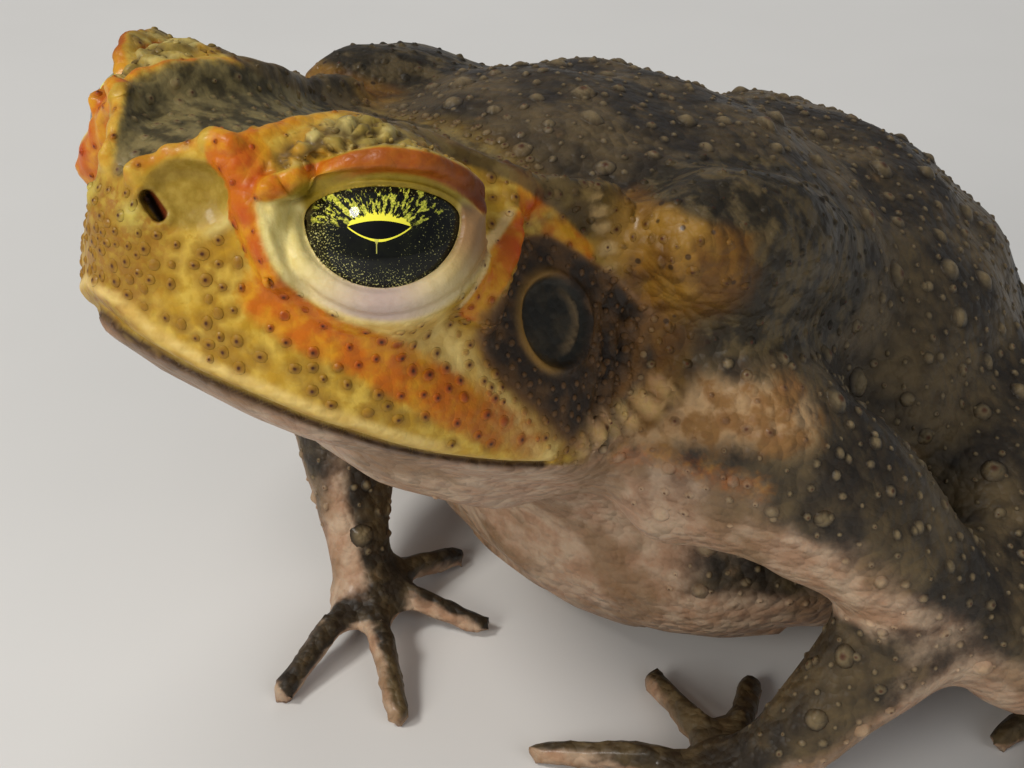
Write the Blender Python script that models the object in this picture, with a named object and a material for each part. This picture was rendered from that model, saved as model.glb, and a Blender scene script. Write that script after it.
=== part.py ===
"""A cane toad sitting up on its hands, at life size, as a still museum model.

The toad faces -Y, its left side is +X and the floor is at z = 0. All lengths in this file are written in
millimetres and turned into metres by MM. The head is laid out in its own axes: x to the toad's left,
f forward along the upper lip, and u up from the lip; in_head() turns such a place into the toad's frame.
"""

import math

import bmesh
import bpy
from mathutils import Euler, Matrix, Vector

MM = 0.001

# Driving sizes, for a toad 130 mm from snout to vent
HEAD_ORIGIN = Vector((0, -22, 47.5))
HEAD_PITCH = math.radians(24)
HEAD_LENGTH = 37
LIP_HALF_WIDTH = 24.5
MOUTH_SLOPE = 0.095
EYE_RADIUS = 6.7
EYE_PLACE = Vector((14.6, 19.4, 11.6))
EYE_AXIS = Vector((0.70, 0.69, 0.17)).normalized()
TYMPANUM = Vector((21.0, 4.4, 7.8))
LID_THICKNESS = 1.3
GAP = 0.4
CUT_SLACK = 0.1

# Grids that the forms are melted together on, and the share of their triangles that is kept
BROAD_VOXEL = 1.5
FINE_VOXEL = 0.6
VOLUME_VOXEL = 2.0
KEPT = 0.0106
PLAIN_KEPT = 0.75
VOLUME_KEPT = 0.1

SIDES = {"left": 1, "right": -1}

# The head's outline by its distance from the ear: the crown, the crests' half width and the throat
CROWN_BEHIND = ((-16, 16.5), (0, 17.2), (12, 17.0), (20, 16.5), (26, 15.8))
CROWN_AHEAD = ((29.5, 15.0), (31.5, 14.4), (33.2, 13.5), (34.6, 12.5), (35.6, 11.2), (36.3, 9.8), (37, 7.6))
CROWN = CROWN_BEHIND + CROWN_AHEAD
RIDGE_BEHIND = ((-16, 19), (0, 17.5), (12, 13.5), (24, 11.0))
RIDGE_AHEAD = ((29.5, 7.4), (31.5, 5.8), (33.2, 4.4), (34.6, 3.4), (35.6, 2.7), (36.3, 2.0), (37, 1.0))
RIDGE_HALF_WIDTH = RIDGE_BEHIND + RIDGE_AHEAD
THROAT = ((-16, -12), (0, -9.6), (10, -8.6), (20, -7.2), (28, -5.2), (33, -3.4), (37, -2.2))
OVERHANG = 0.7
CHIN_SETBACK = 2.8
SNOUT_SETBACK = 1.0
SNOUT_TAPER = 0.15
HEAD_STATIONS = (-16, -8, 0, 5, 10, 15, 20, 24, 27, 29.5, 31.5, 33.2, 34.6, 35.6, 36.3, 36.8)

# The bony crests, as lines in the head's axes with a radius for each
CANTHAL = ((1.9, 33.5, 10.3), (3.7, 32.7, 12.8), (5.2, 31.8, 13.8), (7.6, 30.2, 14.6))
PREORBITAL = ((7.6, 30.2, 14.6), (9.7, 29.0, 12.0), (12.0, 28.3, 8.8), (13.0, 27.9, 7.4))
SUPRAORBITAL = ((7.6, 30.2, 14.6), (8.0, 28.4, 16.1), (8.3, 20.5, 18.2), (10.2, 13.5, 18.6), (14, 8, 17.6))
POSTORBITAL = ((14.0, 8.0, 17.6), (17.6, 9.6, 14.8), (20.0, 10.8, 11.0), (21.2, 12.2, 7.4))
SUPRATYMPANIC = ((14.4, 8.0, 17.5), (16.6, 3.6, 17.9), (17.4, -1.8, 18.0))
CRESTS = (
    (CANTHAL, 1.1),
    (PREORBITAL, 1.35),
    (SUPRAORBITAL, 1.5),
    (POSTORBITAL, 1.35),
    (SUPRATYMPANIC, 1.5),
)

# The eyelids: the swelling over the eyeball and the opening in it
LID_CAP = {"centre": (11.6, 20.0, 13.4), "radii": (6.4, 9.4, 7.0)}
EYE_ACROSS = (0.69, -0.66, 0.29)
OPENING_HALF_WIDTH = 5.8
OPENING_RISE = 3.4
OPENING_FALL = 4.2
EYE_FORWARD = 0.5
OPENING_DEPTH = 14
OPENING_STEPS = 28

# The ear and the gland behind it
TYMPANUM_RADIUS = 3.9
TYMPANUM_DEPTH = 4.5
TYMPANUM_REACH = 6
PAROTOID = {"centre": (22.5, 1.0, 55.0), "radii": (8.4, 16.5, 8.0), "tilt": 26, "yaw": 10}
PAROTOID_ROOM = 0.6

# The plates that part the head from the neck and the jaw from the head
NECK = -3.4
NECK_PLATE = (45, 34)
MOUTH_HALF_WIDTH = 32
MOUTH_REACH = 8

# Each arm: stations of x, y, z and radius down to the wrist, then the palm and the fingertips on the floor
ARMS = {
    "left": {
        "shoulder": (27, -4, 40, 10),
        "upper": (36, 2, 32, 8.6),
        "elbow": (43, 8, 24, 6.4),
        "forearm": (40.5, 4, 17, 6.2),
        "wrist": (36, -5.5, 7.0, 3.8),
        "palm": (33, -8.5, 3.2),
        "tips": ((24, 6), (16, -1.5), (15, -19), (26, -29)),
    },
    "right": {
        "shoulder": (-26, -4, 40, 10),
        "upper": (-30, -4, 33, 8.6),
        "elbow": (-32, -4, 26, 6.6),
        "forearm": (-27, -9.5, 18.5, 6.0),
        "wrist": (-18, -15, 7.2, 3.8),
        "palm": (-15, -16, 3.2),
        "tips": ((-15, -2), (-3, -9), (2, -26), (-10, -33)),
    },
}
FINGER_RADIUS = 1.55

# Each leg, folded at the side: stations of x, y, z and radius, then the foot and its toes by angle and length
HIP = (16, 46, 25, 12.5)
MID_THIGH = (33, 32, 24, 11)
KNEE = (47, 14, 19, 7.6)
SHANK_TOP = (49, 18, 15, 7.4)
CALF = (43, 36, 11.5, 7.4)
ANKLE = (32, 58, 7.5, 4.8)
TARSUS_END = (49, 43, 5, 4.6)
FOOT_PAD = (52, 37, 3.6)
TOE_AIM = math.radians(22)
TOES = ((-58, 15), (-34, 20), (-14, 27), (5, 35), (28, 24))
TOE_RADIUS = 1.6
LEG_PARTS = {
    "tarsus": (ANKLE, TARSUS_END),
    "shank": (SHANK_TOP, CALF, ANKLE),
    "thigh": ((22, 42, 25, 11.5), MID_THIGH, KNEE),
}
WEB_SHARE = 0.42
WEB_RADII = (3.4, 6.0, 0.8)

# How much room the cutting volumes leave round what they take off
FOREARM_ROOM = 1.4
LIMB_ROOM = 1.0
PALM_ROOM = (6.6, 6.6, 4.6)
DIGIT_ROOM = (4.4, 3.5)
TIP_ROOM = 2.8

# Behind the nape and above the feet the skin is plain, so it takes fewer triangles
NAPE = -5
PLAIN_ABOVE = 8

# Plain colours: olive-brown back, cream belly and throat, orange head
COLOURS = {
    "head": ((0.42, 0.22, 0.05), 0.45),
    "lower_jaw": ((0.60, 0.46, 0.34), 0.45),
    "trunk": ((0.16, 0.11, 0.06), 0.55),
    "parotoid": ((0.30, 0.15, 0.05), 0.5),
    "tympanum": ((0.10, 0.08, 0.05), 0.45),
    "eye": ((0.03, 0.03, 0.01), 0.08),
    "upper_arm": ((0.26, 0.18, 0.09), 0.5),
    "forearm": ((0.26, 0.18, 0.09), 0.5),
    "hand": ((0.32, 0.23, 0.14), 0.5),
    "thigh": ((0.20, 0.14, 0.07), 0.5),
    "shank": ((0.20, 0.14, 0.07), 0.5),
    "tarsus": ((0.22, 0.16, 0.09), 0.5),
    "foot": ((0.28, 0.20, 0.12), 0.5),
}


def clear_scene():
    for obj in list(bpy.data.objects):
        bpy.data.objects.remove(obj, do_unlink=True)


def in_head_turn():
    return Matrix.Rotation(-HEAD_PITCH, 3, "X")


def in_head(x, f, u):
    """A place in the head's axes, in the toad's frame."""
    return HEAD_ORIGIN + in_head_turn() @ Vector((x, -f, u))


def material(name, colour, roughness):
    made = bpy.data.materials.new(name)
    made.use_nodes = True
    shader = made.node_tree.nodes["Principled BSDF"]
    shader.inputs["Base Color"].default_value = (*colour, 1)
    shader.inputs["Roughness"].default_value = roughness
    shader.inputs["Metallic"].default_value = 0.0
    return made


def object_of(name, mesh_builder):
    """A new object whose mesh is the bmesh that mesh_builder fills."""
    shape = bmesh.new()
    mesh_builder(shape)
    bmesh.ops.recalc_face_normals(shape, faces=shape.faces)
    mesh = bpy.data.meshes.new(name)
    shape.to_mesh(mesh)
    shape.free()
    obj = bpy.data.objects.new(name, mesh)
    bpy.context.scene.collection.objects.link(obj)
    return obj


# Primitive forms


def ellipsoid(centre, radii, tilt=0.0, yaw=0.0, segments=32):
    """An ellipsoid: tilt in degrees raises its front (-Y) end, yaw turns it about z."""
    turn = Euler((-math.radians(tilt), 0, math.radians(yaw)), "XYZ").to_matrix().to_4x4()
    size = Matrix.Diagonal((*(r * MM for r in radii), 1))
    place = Matrix.Translation(Vector(centre) * MM) @ turn @ size

    def build(shape):
        rings = segments // 2
        bmesh.ops.create_uvsphere(shape, u_segments=segments, v_segments=rings, radius=1, matrix=place)

    return object_of("form", build)


def tapered_rod(start, end, start_radius, end_radius):
    """A cone between two places, for a stretch of limb."""
    start = Vector(start) * MM
    end = Vector(end) * MM
    along = end - start
    turn = along.to_track_quat("Z", "Y").to_matrix().to_4x4()
    place = Matrix.Translation((start + end) / 2) @ turn

    def build(shape):
        bmesh.ops.create_cone(
            shape,
            cap_ends=True,
            segments=20,
            radius1=start_radius * MM,
            radius2=end_radius * MM,
            depth=along.length,
            matrix=place,
        )

    return object_of("form", build)


def limb(stations):
    """A chain of round stations, each (x, y, z, radius), joined by tapered rods."""
    forms = []
    for x, y, z, radius in stations:
        forms.append(ellipsoid((x, y, z), (radius, radius, radius), segments=20))
    for first, second in zip(stations, stations[1:]):
        forms.append(tapered_rod(first[:3], second[:3], first[3], second[3]))
    return forms


def ring_loft(rings):
    """A closed body through rings of the same number of places, with its two ends capped."""

    def build(shape):
        rows = [[shape.verts.new(place * MM) for place in ring] for ring in rings]
        for low, high in zip(rows, rows[1:]):
            for i in range(len(low)):
                j = (i + 1) % len(low)
                shape.faces.new((low[i], low[j], high[j], high[i]))
        shape.faces.new(rows[0])
        shape.faces.new(rows[-1])

    return object_of("form", build)


# The head


def between(table, s):
    """The value at s of a table of (s, value) pairs, along straight lines between them."""
    if s <= table[0][0]:
        return table[0][1]
    for (s0, v0), (s1, v1) in zip(table, table[1:]):
        if s <= s1:
            return v0 + (v1 - v0) * (s - s0) / (s1 - s0)
    return table[-1][1]


def lip_half_width(s):
    """The plan outline of the upper lip."""
    return LIP_HALF_WIDTH * max(0.0, 1 - (max(s, 0) / HEAD_LENGTH) ** 1.9) ** 0.58


def lip_height(s):
    """The mouth line falls a little from the snout to its corner."""
    return -0.7 - MOUTH_SLOPE * (33 - max(s, 3))


def head_ring(s):
    """Half a cross-section of the head from the crown down to the throat, then its mirror image."""
    lip = max(lip_half_width(s), 1.2)
    crown = between(CROWN, s)
    ridge = min(between(RIDGE_HALF_WIDTH, s), lip * 0.92)
    level = lip_height(s)
    throat = between(THROAT, s)
    side = crown - level
    drop = throat - level
    jaw = max(lip - OVERHANG, 0.8)
    half = (
        (ridge * 0.5, crown + 0.1),
        (ridge, crown - 0.5),
        (ridge + (lip - ridge) * 0.42, level + side * 0.62),
        (ridge + (lip - ridge) * 0.84, level + side * 0.27),
        (lip, level + 1.1),
        (lip - 0.1, level + 0.1),
        (jaw, level - 0.6),
        (jaw * 0.93, level + drop * 0.40),
        (jaw * 0.72, level + drop * 0.80),
        (jaw * 0.38, throat + 0.2),
    )
    bow = [(0, crown)] + list(half) + [(0, throat)] + [(-x, u) for x, u in reversed(half)]
    at_front = min(1, max(0, (s - 22) / 15))

    def setback(x, u):
        """How far the rounded snout falls back, at the chin and aside."""
        below = 1 - min(1, max(0, (u + 1) / 8))
        return at_front * (SNOUT_SETBACK + SNOUT_TAPER * abs(x) + CHIN_SETBACK * below)

    return [in_head(x, s - setback(x, u), u) for x, u in bow]


def head_block():
    return ring_loft([head_ring(s) for s in HEAD_STATIONS])


def head_tube(places, radius):
    """A crest, lid roll or fold: a round tube through places in the head's axes."""
    return limb([(*in_head(*place), radius) for place in places])


def crests(side):
    forms = []
    for places, radius in CRESTS:
        forms += head_tube([(side * x, f, u) for x, f, u in places], radius)
    return forms


def eye_centre(side):
    return in_head(side * EYE_PLACE.x, EYE_PLACE.y, EYE_PLACE.z)


def orbit(side):
    """The swelling of both lids over the eyeball."""
    radius = EYE_RADIUS + LID_THICKNESS
    lids = ellipsoid(eye_centre(side), (radius, radius, radius))
    x, f, u = LID_CAP["centre"]
    cap = ellipsoid(in_head(side * x, f, u), LID_CAP["radii"], tilt=math.degrees(HEAD_PITCH))
    return [lids, cap]


# The trunk and limbs


def trunk_forms():
    forms = [
        ellipsoid((0, 7, 38), (25, 24, 23), tilt=30),
        ellipsoid((0, 26, 27), (36, 36, 27.6)),
        ellipsoid((0, 22, 17), (36, 32, 18)),
        ellipsoid((0, 10, 45), (29, 34, 18), tilt=20),
        ellipsoid((0, 36, 33), (25, 27, 17), tilt=22),
        ellipsoid((0, 48, 22), (25, 20, 17)),
        ellipsoid((0, 59, 15), (13, 10, 9)),
        ellipsoid((0, -15, 42), (20, 20, 14.5), tilt=24),
    ]
    for side in SIDES.values():
        forms.append(ellipsoid((side * 24, -3, 40), (9, 13, 14)))
    return forms


def parotoid_form(side, grown=0.0):
    """The long poison gland behind the ear."""
    x, y, z = PAROTOID["centre"]
    radii = [r + grown for r in PAROTOID["radii"]]
    return ellipsoid((side * x, y, z), radii, tilt=PAROTOID["tilt"], yaw=side * PAROTOID["yaw"], segments=16)


def finger(palm, tip, radius):
    """One finger or toe, arched a little over its knuckles and laid on the floor at its tip."""
    start = Vector(palm)
    end = Vector((tip[0], tip[1], radius * 0.75))
    stations = []
    for share, lift, girth in ((0.12, 0.0, 1.25), (0.42, 1.3, 1.12), (0.70, 0.6, 1.0), (0.96, 0.0, 1.05)):
        place = start.lerp(end, share)
        stations.append((place.x, place.y, place.z + lift, radius * girth))
    return limb(stations)


def arm_chain(arm):
    return [arm[joint] for joint in ("shoulder", "upper", "elbow", "forearm", "wrist")]


def hand_forms(arm):
    forms = limb([arm["wrist"], (*arm["palm"], 3.4)])
    forms.append(ellipsoid(arm["palm"], (4.9, 4.9, 3.1)))
    for tip in arm["tips"]:
        forms += finger(arm["palm"], tip, FINGER_RADIUS)
    return forms


def mirrored(station, side):
    return (side * station[0], *station[1:])


def toe_tip(side, degrees, length):
    """Where a toe of this length ends on the floor, fanned by so many degrees from the foot's aim."""
    angle = TOE_AIM + math.radians(degrees)
    return (side * (FOOT_PAD[0] + length * math.sin(angle)), FOOT_PAD[1] - length * math.cos(angle))


def leg_forms(side):
    forms = limb([mirrored(station, side) for station in (HIP, MID_THIGH, KNEE)])
    forms += limb([mirrored(station, side) for station in (KNEE, SHANK_TOP, CALF, ANKLE)])
    forms += limb([mirrored(station, side) for station in (ANKLE, TARSUS_END)])
    return forms


def web(side, first, second):
    """The low skin between two toes, from the foot's pad out to less than half their length."""
    degrees = (first[0] + second[0]) / 2
    x, y = toe_tip(side, degrees, min(first[1], second[1]) * WEB_SHARE)
    yaw = side * (math.degrees(TOE_AIM) + degrees)
    return ellipsoid((x, y, TOE_RADIUS), WEB_RADII, yaw=yaw, segments=16)


def foot_forms(side):
    pad = mirrored(FOOT_PAD, side)
    forms = limb([mirrored(TARSUS_END, side), (*pad, 3.4)])
    forms.append(ellipsoid(pad, (6.0, 7.0, 3.4)))
    for toe in TOES:
        forms += finger(pad, toe_tip(side, *toe), TOE_RADIUS)
    for first, second in zip(TOES, TOES[1:]):
        forms.append(web(side, first, second))
    return forms


# Melting the forms together


def select_only(objects):
    bpy.ops.object.select_all(action="DESELECT")
    for obj in objects:
        obj.select_set(True)
    bpy.context.view_layer.objects.active = objects[0]


def apply_modifier(obj, kind, **settings):
    """Adds a modifier with these settings and makes its result the object's mesh."""
    modifier = obj.modifiers.new(kind.title(), kind)
    for name, value in settings.items():
        setattr(modifier, name, value)
    select_only([obj])
    bpy.ops.object.modifier_apply(modifier=modifier.name)


def melted(forms, voxel, rounds, name):
    """One skin round all the forms, smoothed so that they flow into each other."""
    select_only(forms)
    bpy.ops.object.join()
    body = bpy.context.view_layer.objects.active
    body.name = name
    apply_modifier(body, "REMESH", mode="VOXEL", voxel_size=voxel * MM, adaptivity=0)
    apply_modifier(body, "SMOOTH", factor=0.5, iterations=rounds)
    return body


def whole_toad():
    broad = trunk_forms() + [head_block()]
    for name, side in SIDES.items():
        broad.append(parotoid_form(side))
        broad += orbit(side)
        broad += limb(arm_chain(ARMS[name]))
        broad += leg_forms(side)
    fine = [melted(broad, BROAD_VOXEL, 7, "broad")]
    for name, side in SIDES.items():
        fine += hand_forms(ARMS[name])
        fine += foot_forms(side)
        fine += crests(side)
        fine += orbit(side)
    return melted(fine, FINE_VOXEL, 5, "toad")


def thinned(body):
    """Fewer triangles everywhere, and fewer again on the trunk and limbs than on the head and digits."""
    apply_modifier(body, "DECIMATE", ratio=KEPT)
    plain = body.vertex_groups.new(name="plain")
    for vertex in body.data.vertices:
        place = vertex.co / MM
        in_face = (place - in_head(0, NAPE, 0)).dot(in_head(0, 1, 0) - in_head(0, 0, 0)) > 0
        if not in_face and place.z > PLAIN_ABOVE:
            plain.add([vertex.index], 1, "REPLACE")
    apply_modifier(body, "DECIMATE", ratio=PLAIN_KEPT, vertex_group="plain")


# Cutting the body into its parts


def cut(obj, cutter, operation):
    apply_modifier(obj, "BOOLEAN", operation=operation, object=cutter, solver="EXACT")


def discard(obj):
    bpy.data.objects.remove(obj, do_unlink=True)


def largest_pieces(obj, count):
    """Splits an object into its closed bodies and keeps the biggest, without the crumbs beside a cut."""
    select_only([obj])
    bpy.ops.object.mode_set(mode="EDIT")
    bpy.ops.mesh.select_all(action="SELECT")
    bpy.ops.mesh.separate(type="LOOSE")
    bpy.ops.object.mode_set(mode="OBJECT")
    pieces = sorted(bpy.context.selected_objects, key=lambda piece: -len(piece.data.polygons))
    for crumb in pieces[count:]:
        discard(crumb)
    return pieces[:count]


def grown_copy(obj, by):
    """A copy whose surface stands off the original's by this many millimetres."""
    bigger = obj.copy()
    bigger.data = obj.data.copy()
    bpy.context.scene.collection.objects.link(bigger)
    apply_modifier(bigger, "DISPLACE", strength=by * MM, mid_level=0)
    return bigger


def carve(body, volume, name):
    """Takes what lies in the volume out of the body as a node of its own, a thin gap away."""
    node = body.copy()
    node.data = body.data.copy()
    bpy.context.scene.collection.objects.link(node)
    cut(node, volume, "INTERSECT")
    outer = grown_copy(volume, GAP + CUT_SLACK)
    cut(body, outer, "DIFFERENCE")
    discard(outer)
    discard(volume)
    largest_pieces(node, 1)[0].name = name


def simple_volume(forms):
    """A coarse closed volume round some forms, to carve with."""
    volume = melted(forms, VOLUME_VOXEL, 4, "volume")
    apply_modifier(volume, "DECIMATE", ratio=VOLUME_KEPT)
    return volume


def fattened(stations, by):
    return [(x, y, z, radius + by) for x, y, z, radius in stations]


def box(centre, half_sizes, turn=None):
    place = Matrix.Translation(Vector(centre) * MM)
    if turn is not None:
        place = place @ turn.to_4x4()
    place = place @ Matrix.Diagonal((*(2 * half * MM for half in half_sizes), 1))

    def build(shape):
        bmesh.ops.create_cube(shape, size=1, matrix=place)

    return object_of("box", build)


def eye_frame(side):
    """The eye's long axis across the opening, its upward axis, and its line of sight."""
    sight = in_head(side * EYE_AXIS.x, EYE_AXIS.y, EYE_AXIS.z) - in_head(0, 0, 0)
    across = in_head(side * EYE_ACROSS[0], EYE_ACROSS[1], EYE_ACROSS[2]) - in_head(0, 0, 0)
    across = (across - sight * across.dot(sight)).normalized()
    upward = (sight.cross(across) * side).normalized()
    return across, upward, sight


def eye_opening(side):
    """A prism through the lids: nearly an ellipse, flatter along the upper lid."""
    across, upward, sight = eye_frame(side)
    centre = eyeball_centre(side)
    near = []
    for i in range(OPENING_STEPS):
        angle = 2 * math.pi * i / OPENING_STEPS
        rise = OPENING_RISE if math.sin(angle) > 0 else OPENING_FALL
        near.append(centre + across * OPENING_HALF_WIDTH * math.cos(angle) + upward * rise * math.sin(angle))
    return ring_loft([near, [place + sight * OPENING_DEPTH for place in near]])


def eyeball_centre(side):
    return eye_centre(side) + eye_frame(side)[2] * EYE_FORWARD


def carve_eyes(body):
    for name, side in SIDES.items():
        radius = EYE_RADIUS + GAP
        socket = ellipsoid(eyeball_centre(side), (radius, radius, radius), segments=18)
        opening = eye_opening(side)
        cut(body, opening, "DIFFERENCE")
        cut(body, socket, "DIFFERENCE")
        discard(opening)
        discard(socket)
        eyeball = ellipsoid(eyeball_centre(side), (EYE_RADIUS,) * 3, segments=16)
        eyeball.name = f"eye_{name}"


def tympanum_volume(side):
    """A short round plug through the eardrum."""
    inner = in_head(side * (TYMPANUM.x - TYMPANUM_DEPTH), TYMPANUM.y, TYMPANUM.z)
    outer = in_head(side * (TYMPANUM.x + TYMPANUM_REACH), TYMPANUM.y, TYMPANUM.z)
    return tapered_rod(inner, outer, TYMPANUM_RADIUS, TYMPANUM_RADIUS)


def digits_volume(pad, tips):
    """A low closed volume round a hand or foot and its digits."""
    x, y, z = pad
    forms = [ellipsoid((x, y, z), PALM_ROOM)]
    for tip in tips:
        reach = Vector(tip) - Vector((x, y))
        end = Vector((x, y)) + reach * (1 + TIP_ROOM / reach.length)
        forms += limb([(x, y, z, DIGIT_ROOM[0]), (end.x, end.y, FINGER_RADIUS, DIGIT_ROOM[1])])
    return simple_volume(forms)


def carve_limbs(body):
    """Arms and legs, each taken off from its tip inwards."""
    for name, side in SIDES.items():
        arm = ARMS[name]
        carve(body, digits_volume(arm["palm"], arm["tips"]), f"hand_{name}")
        stations = fattened(arm_chain(arm)[2:], FOREARM_ROOM)
        carve(body, simple_volume(limb(stations)), f"forearm_{name}")
        stations = fattened(arm_chain(arm)[:3], LIMB_ROOM)
        carve(body, simple_volume(limb(stations)), f"upper_arm_{name}")
        pad = mirrored(FOOT_PAD, side)
        carve(body, digits_volume(pad, [toe_tip(side, *toe) for toe in TOES]), f"foot_{name}")
        for label, chain in LEG_PARTS.items():
            stations = fattened([mirrored(station, side) for station in chain], LIMB_ROOM)
            carve(body, simple_volume(limb(stations)), f"{label}_{name}")


def carve_glands_and_ears(body):
    for name, side in SIDES.items():
        carve(body, parotoid_form(side, PAROTOID_ROOM), f"parotoid_{name}")
        carve(body, tympanum_volume(side), f"tympanum_{name}")


def part_head(body):
    """A thin cut behind the ears, and one along the mouth in front of it."""
    across, upright = NECK_PLATE
    neck = box(in_head(0, NECK, -MOUTH_REACH), (across, GAP / 2, upright), in_head_turn())
    slope = Matrix.Rotation(-math.atan(MOUTH_SLOPE), 3, "X")
    front = HEAD_LENGTH + MOUTH_REACH
    halfway = (NECK + front) / 2
    middle = in_head(0, halfway, lip_height(halfway))
    mouth = box(middle, (MOUTH_HALF_WIDTH, (front - NECK) / 2, GAP / 2), in_head_turn() @ slope)
    for cutter in (neck, mouth):
        cut(body, cutter, "DIFFERENCE")
        discard(cutter)
    along = in_head(0, 1, 0) - in_head(0, 0, 0)
    upward = in_head(0, 0, 1) - in_head(0, 0, 0)

    def middle_of(piece):
        corners = [Vector(corner) / MM - HEAD_ORIGIN for corner in piece.bound_box]
        return sum(corners, Vector()) / 8

    pieces = sorted(largest_pieces(body, 3), key=lambda piece: middle_of(piece).dot(along))
    pieces[0].name = "trunk"
    jaw, head = sorted(pieces[1:], key=lambda piece: middle_of(piece).dot(upward))
    jaw.name = "lower_jaw"
    head.name = "head"


def finish_nodes():
    """Gives each part its material and smooth shading, and stands the toad over the origin."""
    made = {kind: material(kind, *look) for kind, look in COLOURS.items()}
    nodes = list(bpy.context.scene.collection.objects)
    corners = [corner for node in nodes for corner in (vertex.co for vertex in node.data.vertices)]
    low = Vector([min(corner[i] for corner in corners) for i in range(3)])
    high = Vector([max(corner[i] for corner in corners) for i in range(3)])
    shift = Vector((-(low.x + high.x) / 2, -(low.y + high.y) / 2, -low.z))
    for node in nodes:
        kind = node.name.replace("_left", "").replace("_right", "")
        node.data.transform(Matrix.Translation(shift))
        node.data.materials.clear()
        node.data.materials.append(made[kind])
        node.data.shade_smooth()
        node.data.set_sharp_from_angle(angle=math.radians(40))


def main():
    clear_scene()
    body = whole_toad()
    thinned(body)
    floor = box((0, 0, -10), (150, 150, 10))
    cut(body, floor, "DIFFERENCE")
    discard(floor)
    carve_eyes(body)
    carve_limbs(body)
    carve_glands_and_ears(body)
    part_head(body)
    finish_nodes()


main()
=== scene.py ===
# %% [markdown]
# # A cane toad sitting up on its hands, at life size
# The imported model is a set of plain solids: head, jaw, trunk, limbs and eyes. This lesson gives them the look
# of the living animal. One skin is shaped round the solids of flesh, two eyes are set in it, and the warts
# grow from it as joined meshes. The model is a still one, so every piece rides on the one body, "root".
# Sizes are written in millimetres, and MM turns them into Blender's metres.

import math

import bpy
import numpy as np
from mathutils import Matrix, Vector, noise
from mathutils.bvhtree import BVHTree
from mathutils.kdtree import KDTree


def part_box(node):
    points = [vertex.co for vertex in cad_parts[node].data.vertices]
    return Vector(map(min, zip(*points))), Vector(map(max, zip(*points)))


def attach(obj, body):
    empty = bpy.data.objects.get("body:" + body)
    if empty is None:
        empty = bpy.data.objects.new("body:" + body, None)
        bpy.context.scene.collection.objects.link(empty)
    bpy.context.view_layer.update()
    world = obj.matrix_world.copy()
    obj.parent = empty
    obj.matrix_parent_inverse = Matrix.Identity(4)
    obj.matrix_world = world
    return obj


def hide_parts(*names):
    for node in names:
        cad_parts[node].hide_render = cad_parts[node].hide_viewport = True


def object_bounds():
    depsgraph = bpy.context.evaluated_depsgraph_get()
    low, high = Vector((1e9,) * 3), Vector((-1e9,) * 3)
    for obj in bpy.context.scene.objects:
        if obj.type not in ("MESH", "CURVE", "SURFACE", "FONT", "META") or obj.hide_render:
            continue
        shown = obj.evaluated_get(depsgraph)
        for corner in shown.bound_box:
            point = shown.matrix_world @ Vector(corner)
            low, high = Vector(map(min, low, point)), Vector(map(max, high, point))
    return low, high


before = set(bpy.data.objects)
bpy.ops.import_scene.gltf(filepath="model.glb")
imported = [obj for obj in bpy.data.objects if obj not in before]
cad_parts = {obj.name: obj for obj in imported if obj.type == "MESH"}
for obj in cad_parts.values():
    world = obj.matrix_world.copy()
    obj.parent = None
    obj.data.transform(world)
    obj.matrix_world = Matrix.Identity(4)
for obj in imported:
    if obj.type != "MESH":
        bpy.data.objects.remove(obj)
CAD_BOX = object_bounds()
MM = 0.001
FLESH = sorted(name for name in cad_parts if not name.startswith("eye_"))
print("the model has", len(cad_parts), "nodes, of which", len(FLESH), "are flesh")

# %% [markdown]
# The face is laid out in the head's own axes, because the head is tilted up and a face is easier to think
# of level: x to the toad's left, f forward along the upper lip, u up from it. The two eyes say where the head
# is. Both sides of a toad's head are alike, so a place on the face is written once, for the left side, and
# the distance to it is measured with x made positive.

# %% The head's axes
HEAD_PITCH = math.radians(24)
LEFT = np.array((1.0, 0.0, 0.0))
AHEAD = np.array((0.0, -math.cos(HEAD_PITCH), math.sin(HEAD_PITCH)))
ABOVE = np.array((0.0, math.sin(HEAD_PITCH), math.cos(HEAD_PITCH)))
EYEBALL = np.array((14.95, 19.75, 11.7))
EYE_RADIUS = 6.7
SIDES = {"left": 1, "right": -1}


def middle_of(node):
    low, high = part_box(node)
    return np.array((low + high) / 2) / MM


EYE_MIDDLES = {side: middle_of(f"eye_{side}") for side in SIDES}
HEAD_ORIGIN = (EYE_MIDDLES["left"] + EYE_MIDDLES["right"]) / 2 - EYEBALL[1] * AHEAD - EYEBALL[2] * ABOVE


def to_head(places):
    """Places in the frame, in the head's axes."""
    offset = places - HEAD_ORIGIN
    return np.stack((offset @ LEFT, offset @ AHEAD, offset @ ABOVE), axis=1)


def from_head(places):
    return HEAD_ORIGIN + places[:, :1] * LEFT + places[:, 1:2] * AHEAD + places[:, 2:3] * ABOVE


def folded(places):
    """Places in the head's axes, with the right side laid over the left."""
    head = to_head(places)
    head[:, 0] = np.abs(head[:, 0])
    return head


print("the head's origin is at", HEAD_ORIGIN.round(1), "mm")

# %% [markdown]
# Each eye has axes of its own: a across the opening, from its front corner to its rear one, b up the eye, and
# c along its line of sight. The lids, the pupil and the iris are all laid out by them.

# %% The eye's axes
SIGHT = np.array((0.70, 0.69, 0.17)) / np.linalg.norm((0.70, 0.69, 0.17))
ACROSS = np.array((0.69, -0.66, 0.29))
ACROSS -= SIGHT * (ACROSS @ SIGHT)
ACROSS /= np.linalg.norm(ACROSS)
UPWARD = np.array((-0.38, 0.01, 0.93))
UPWARD -= SIGHT * (UPWARD @ SIGHT) + ACROSS * (UPWARD @ ACROSS)
UPWARD /= np.linalg.norm(UPWARD)


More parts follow.
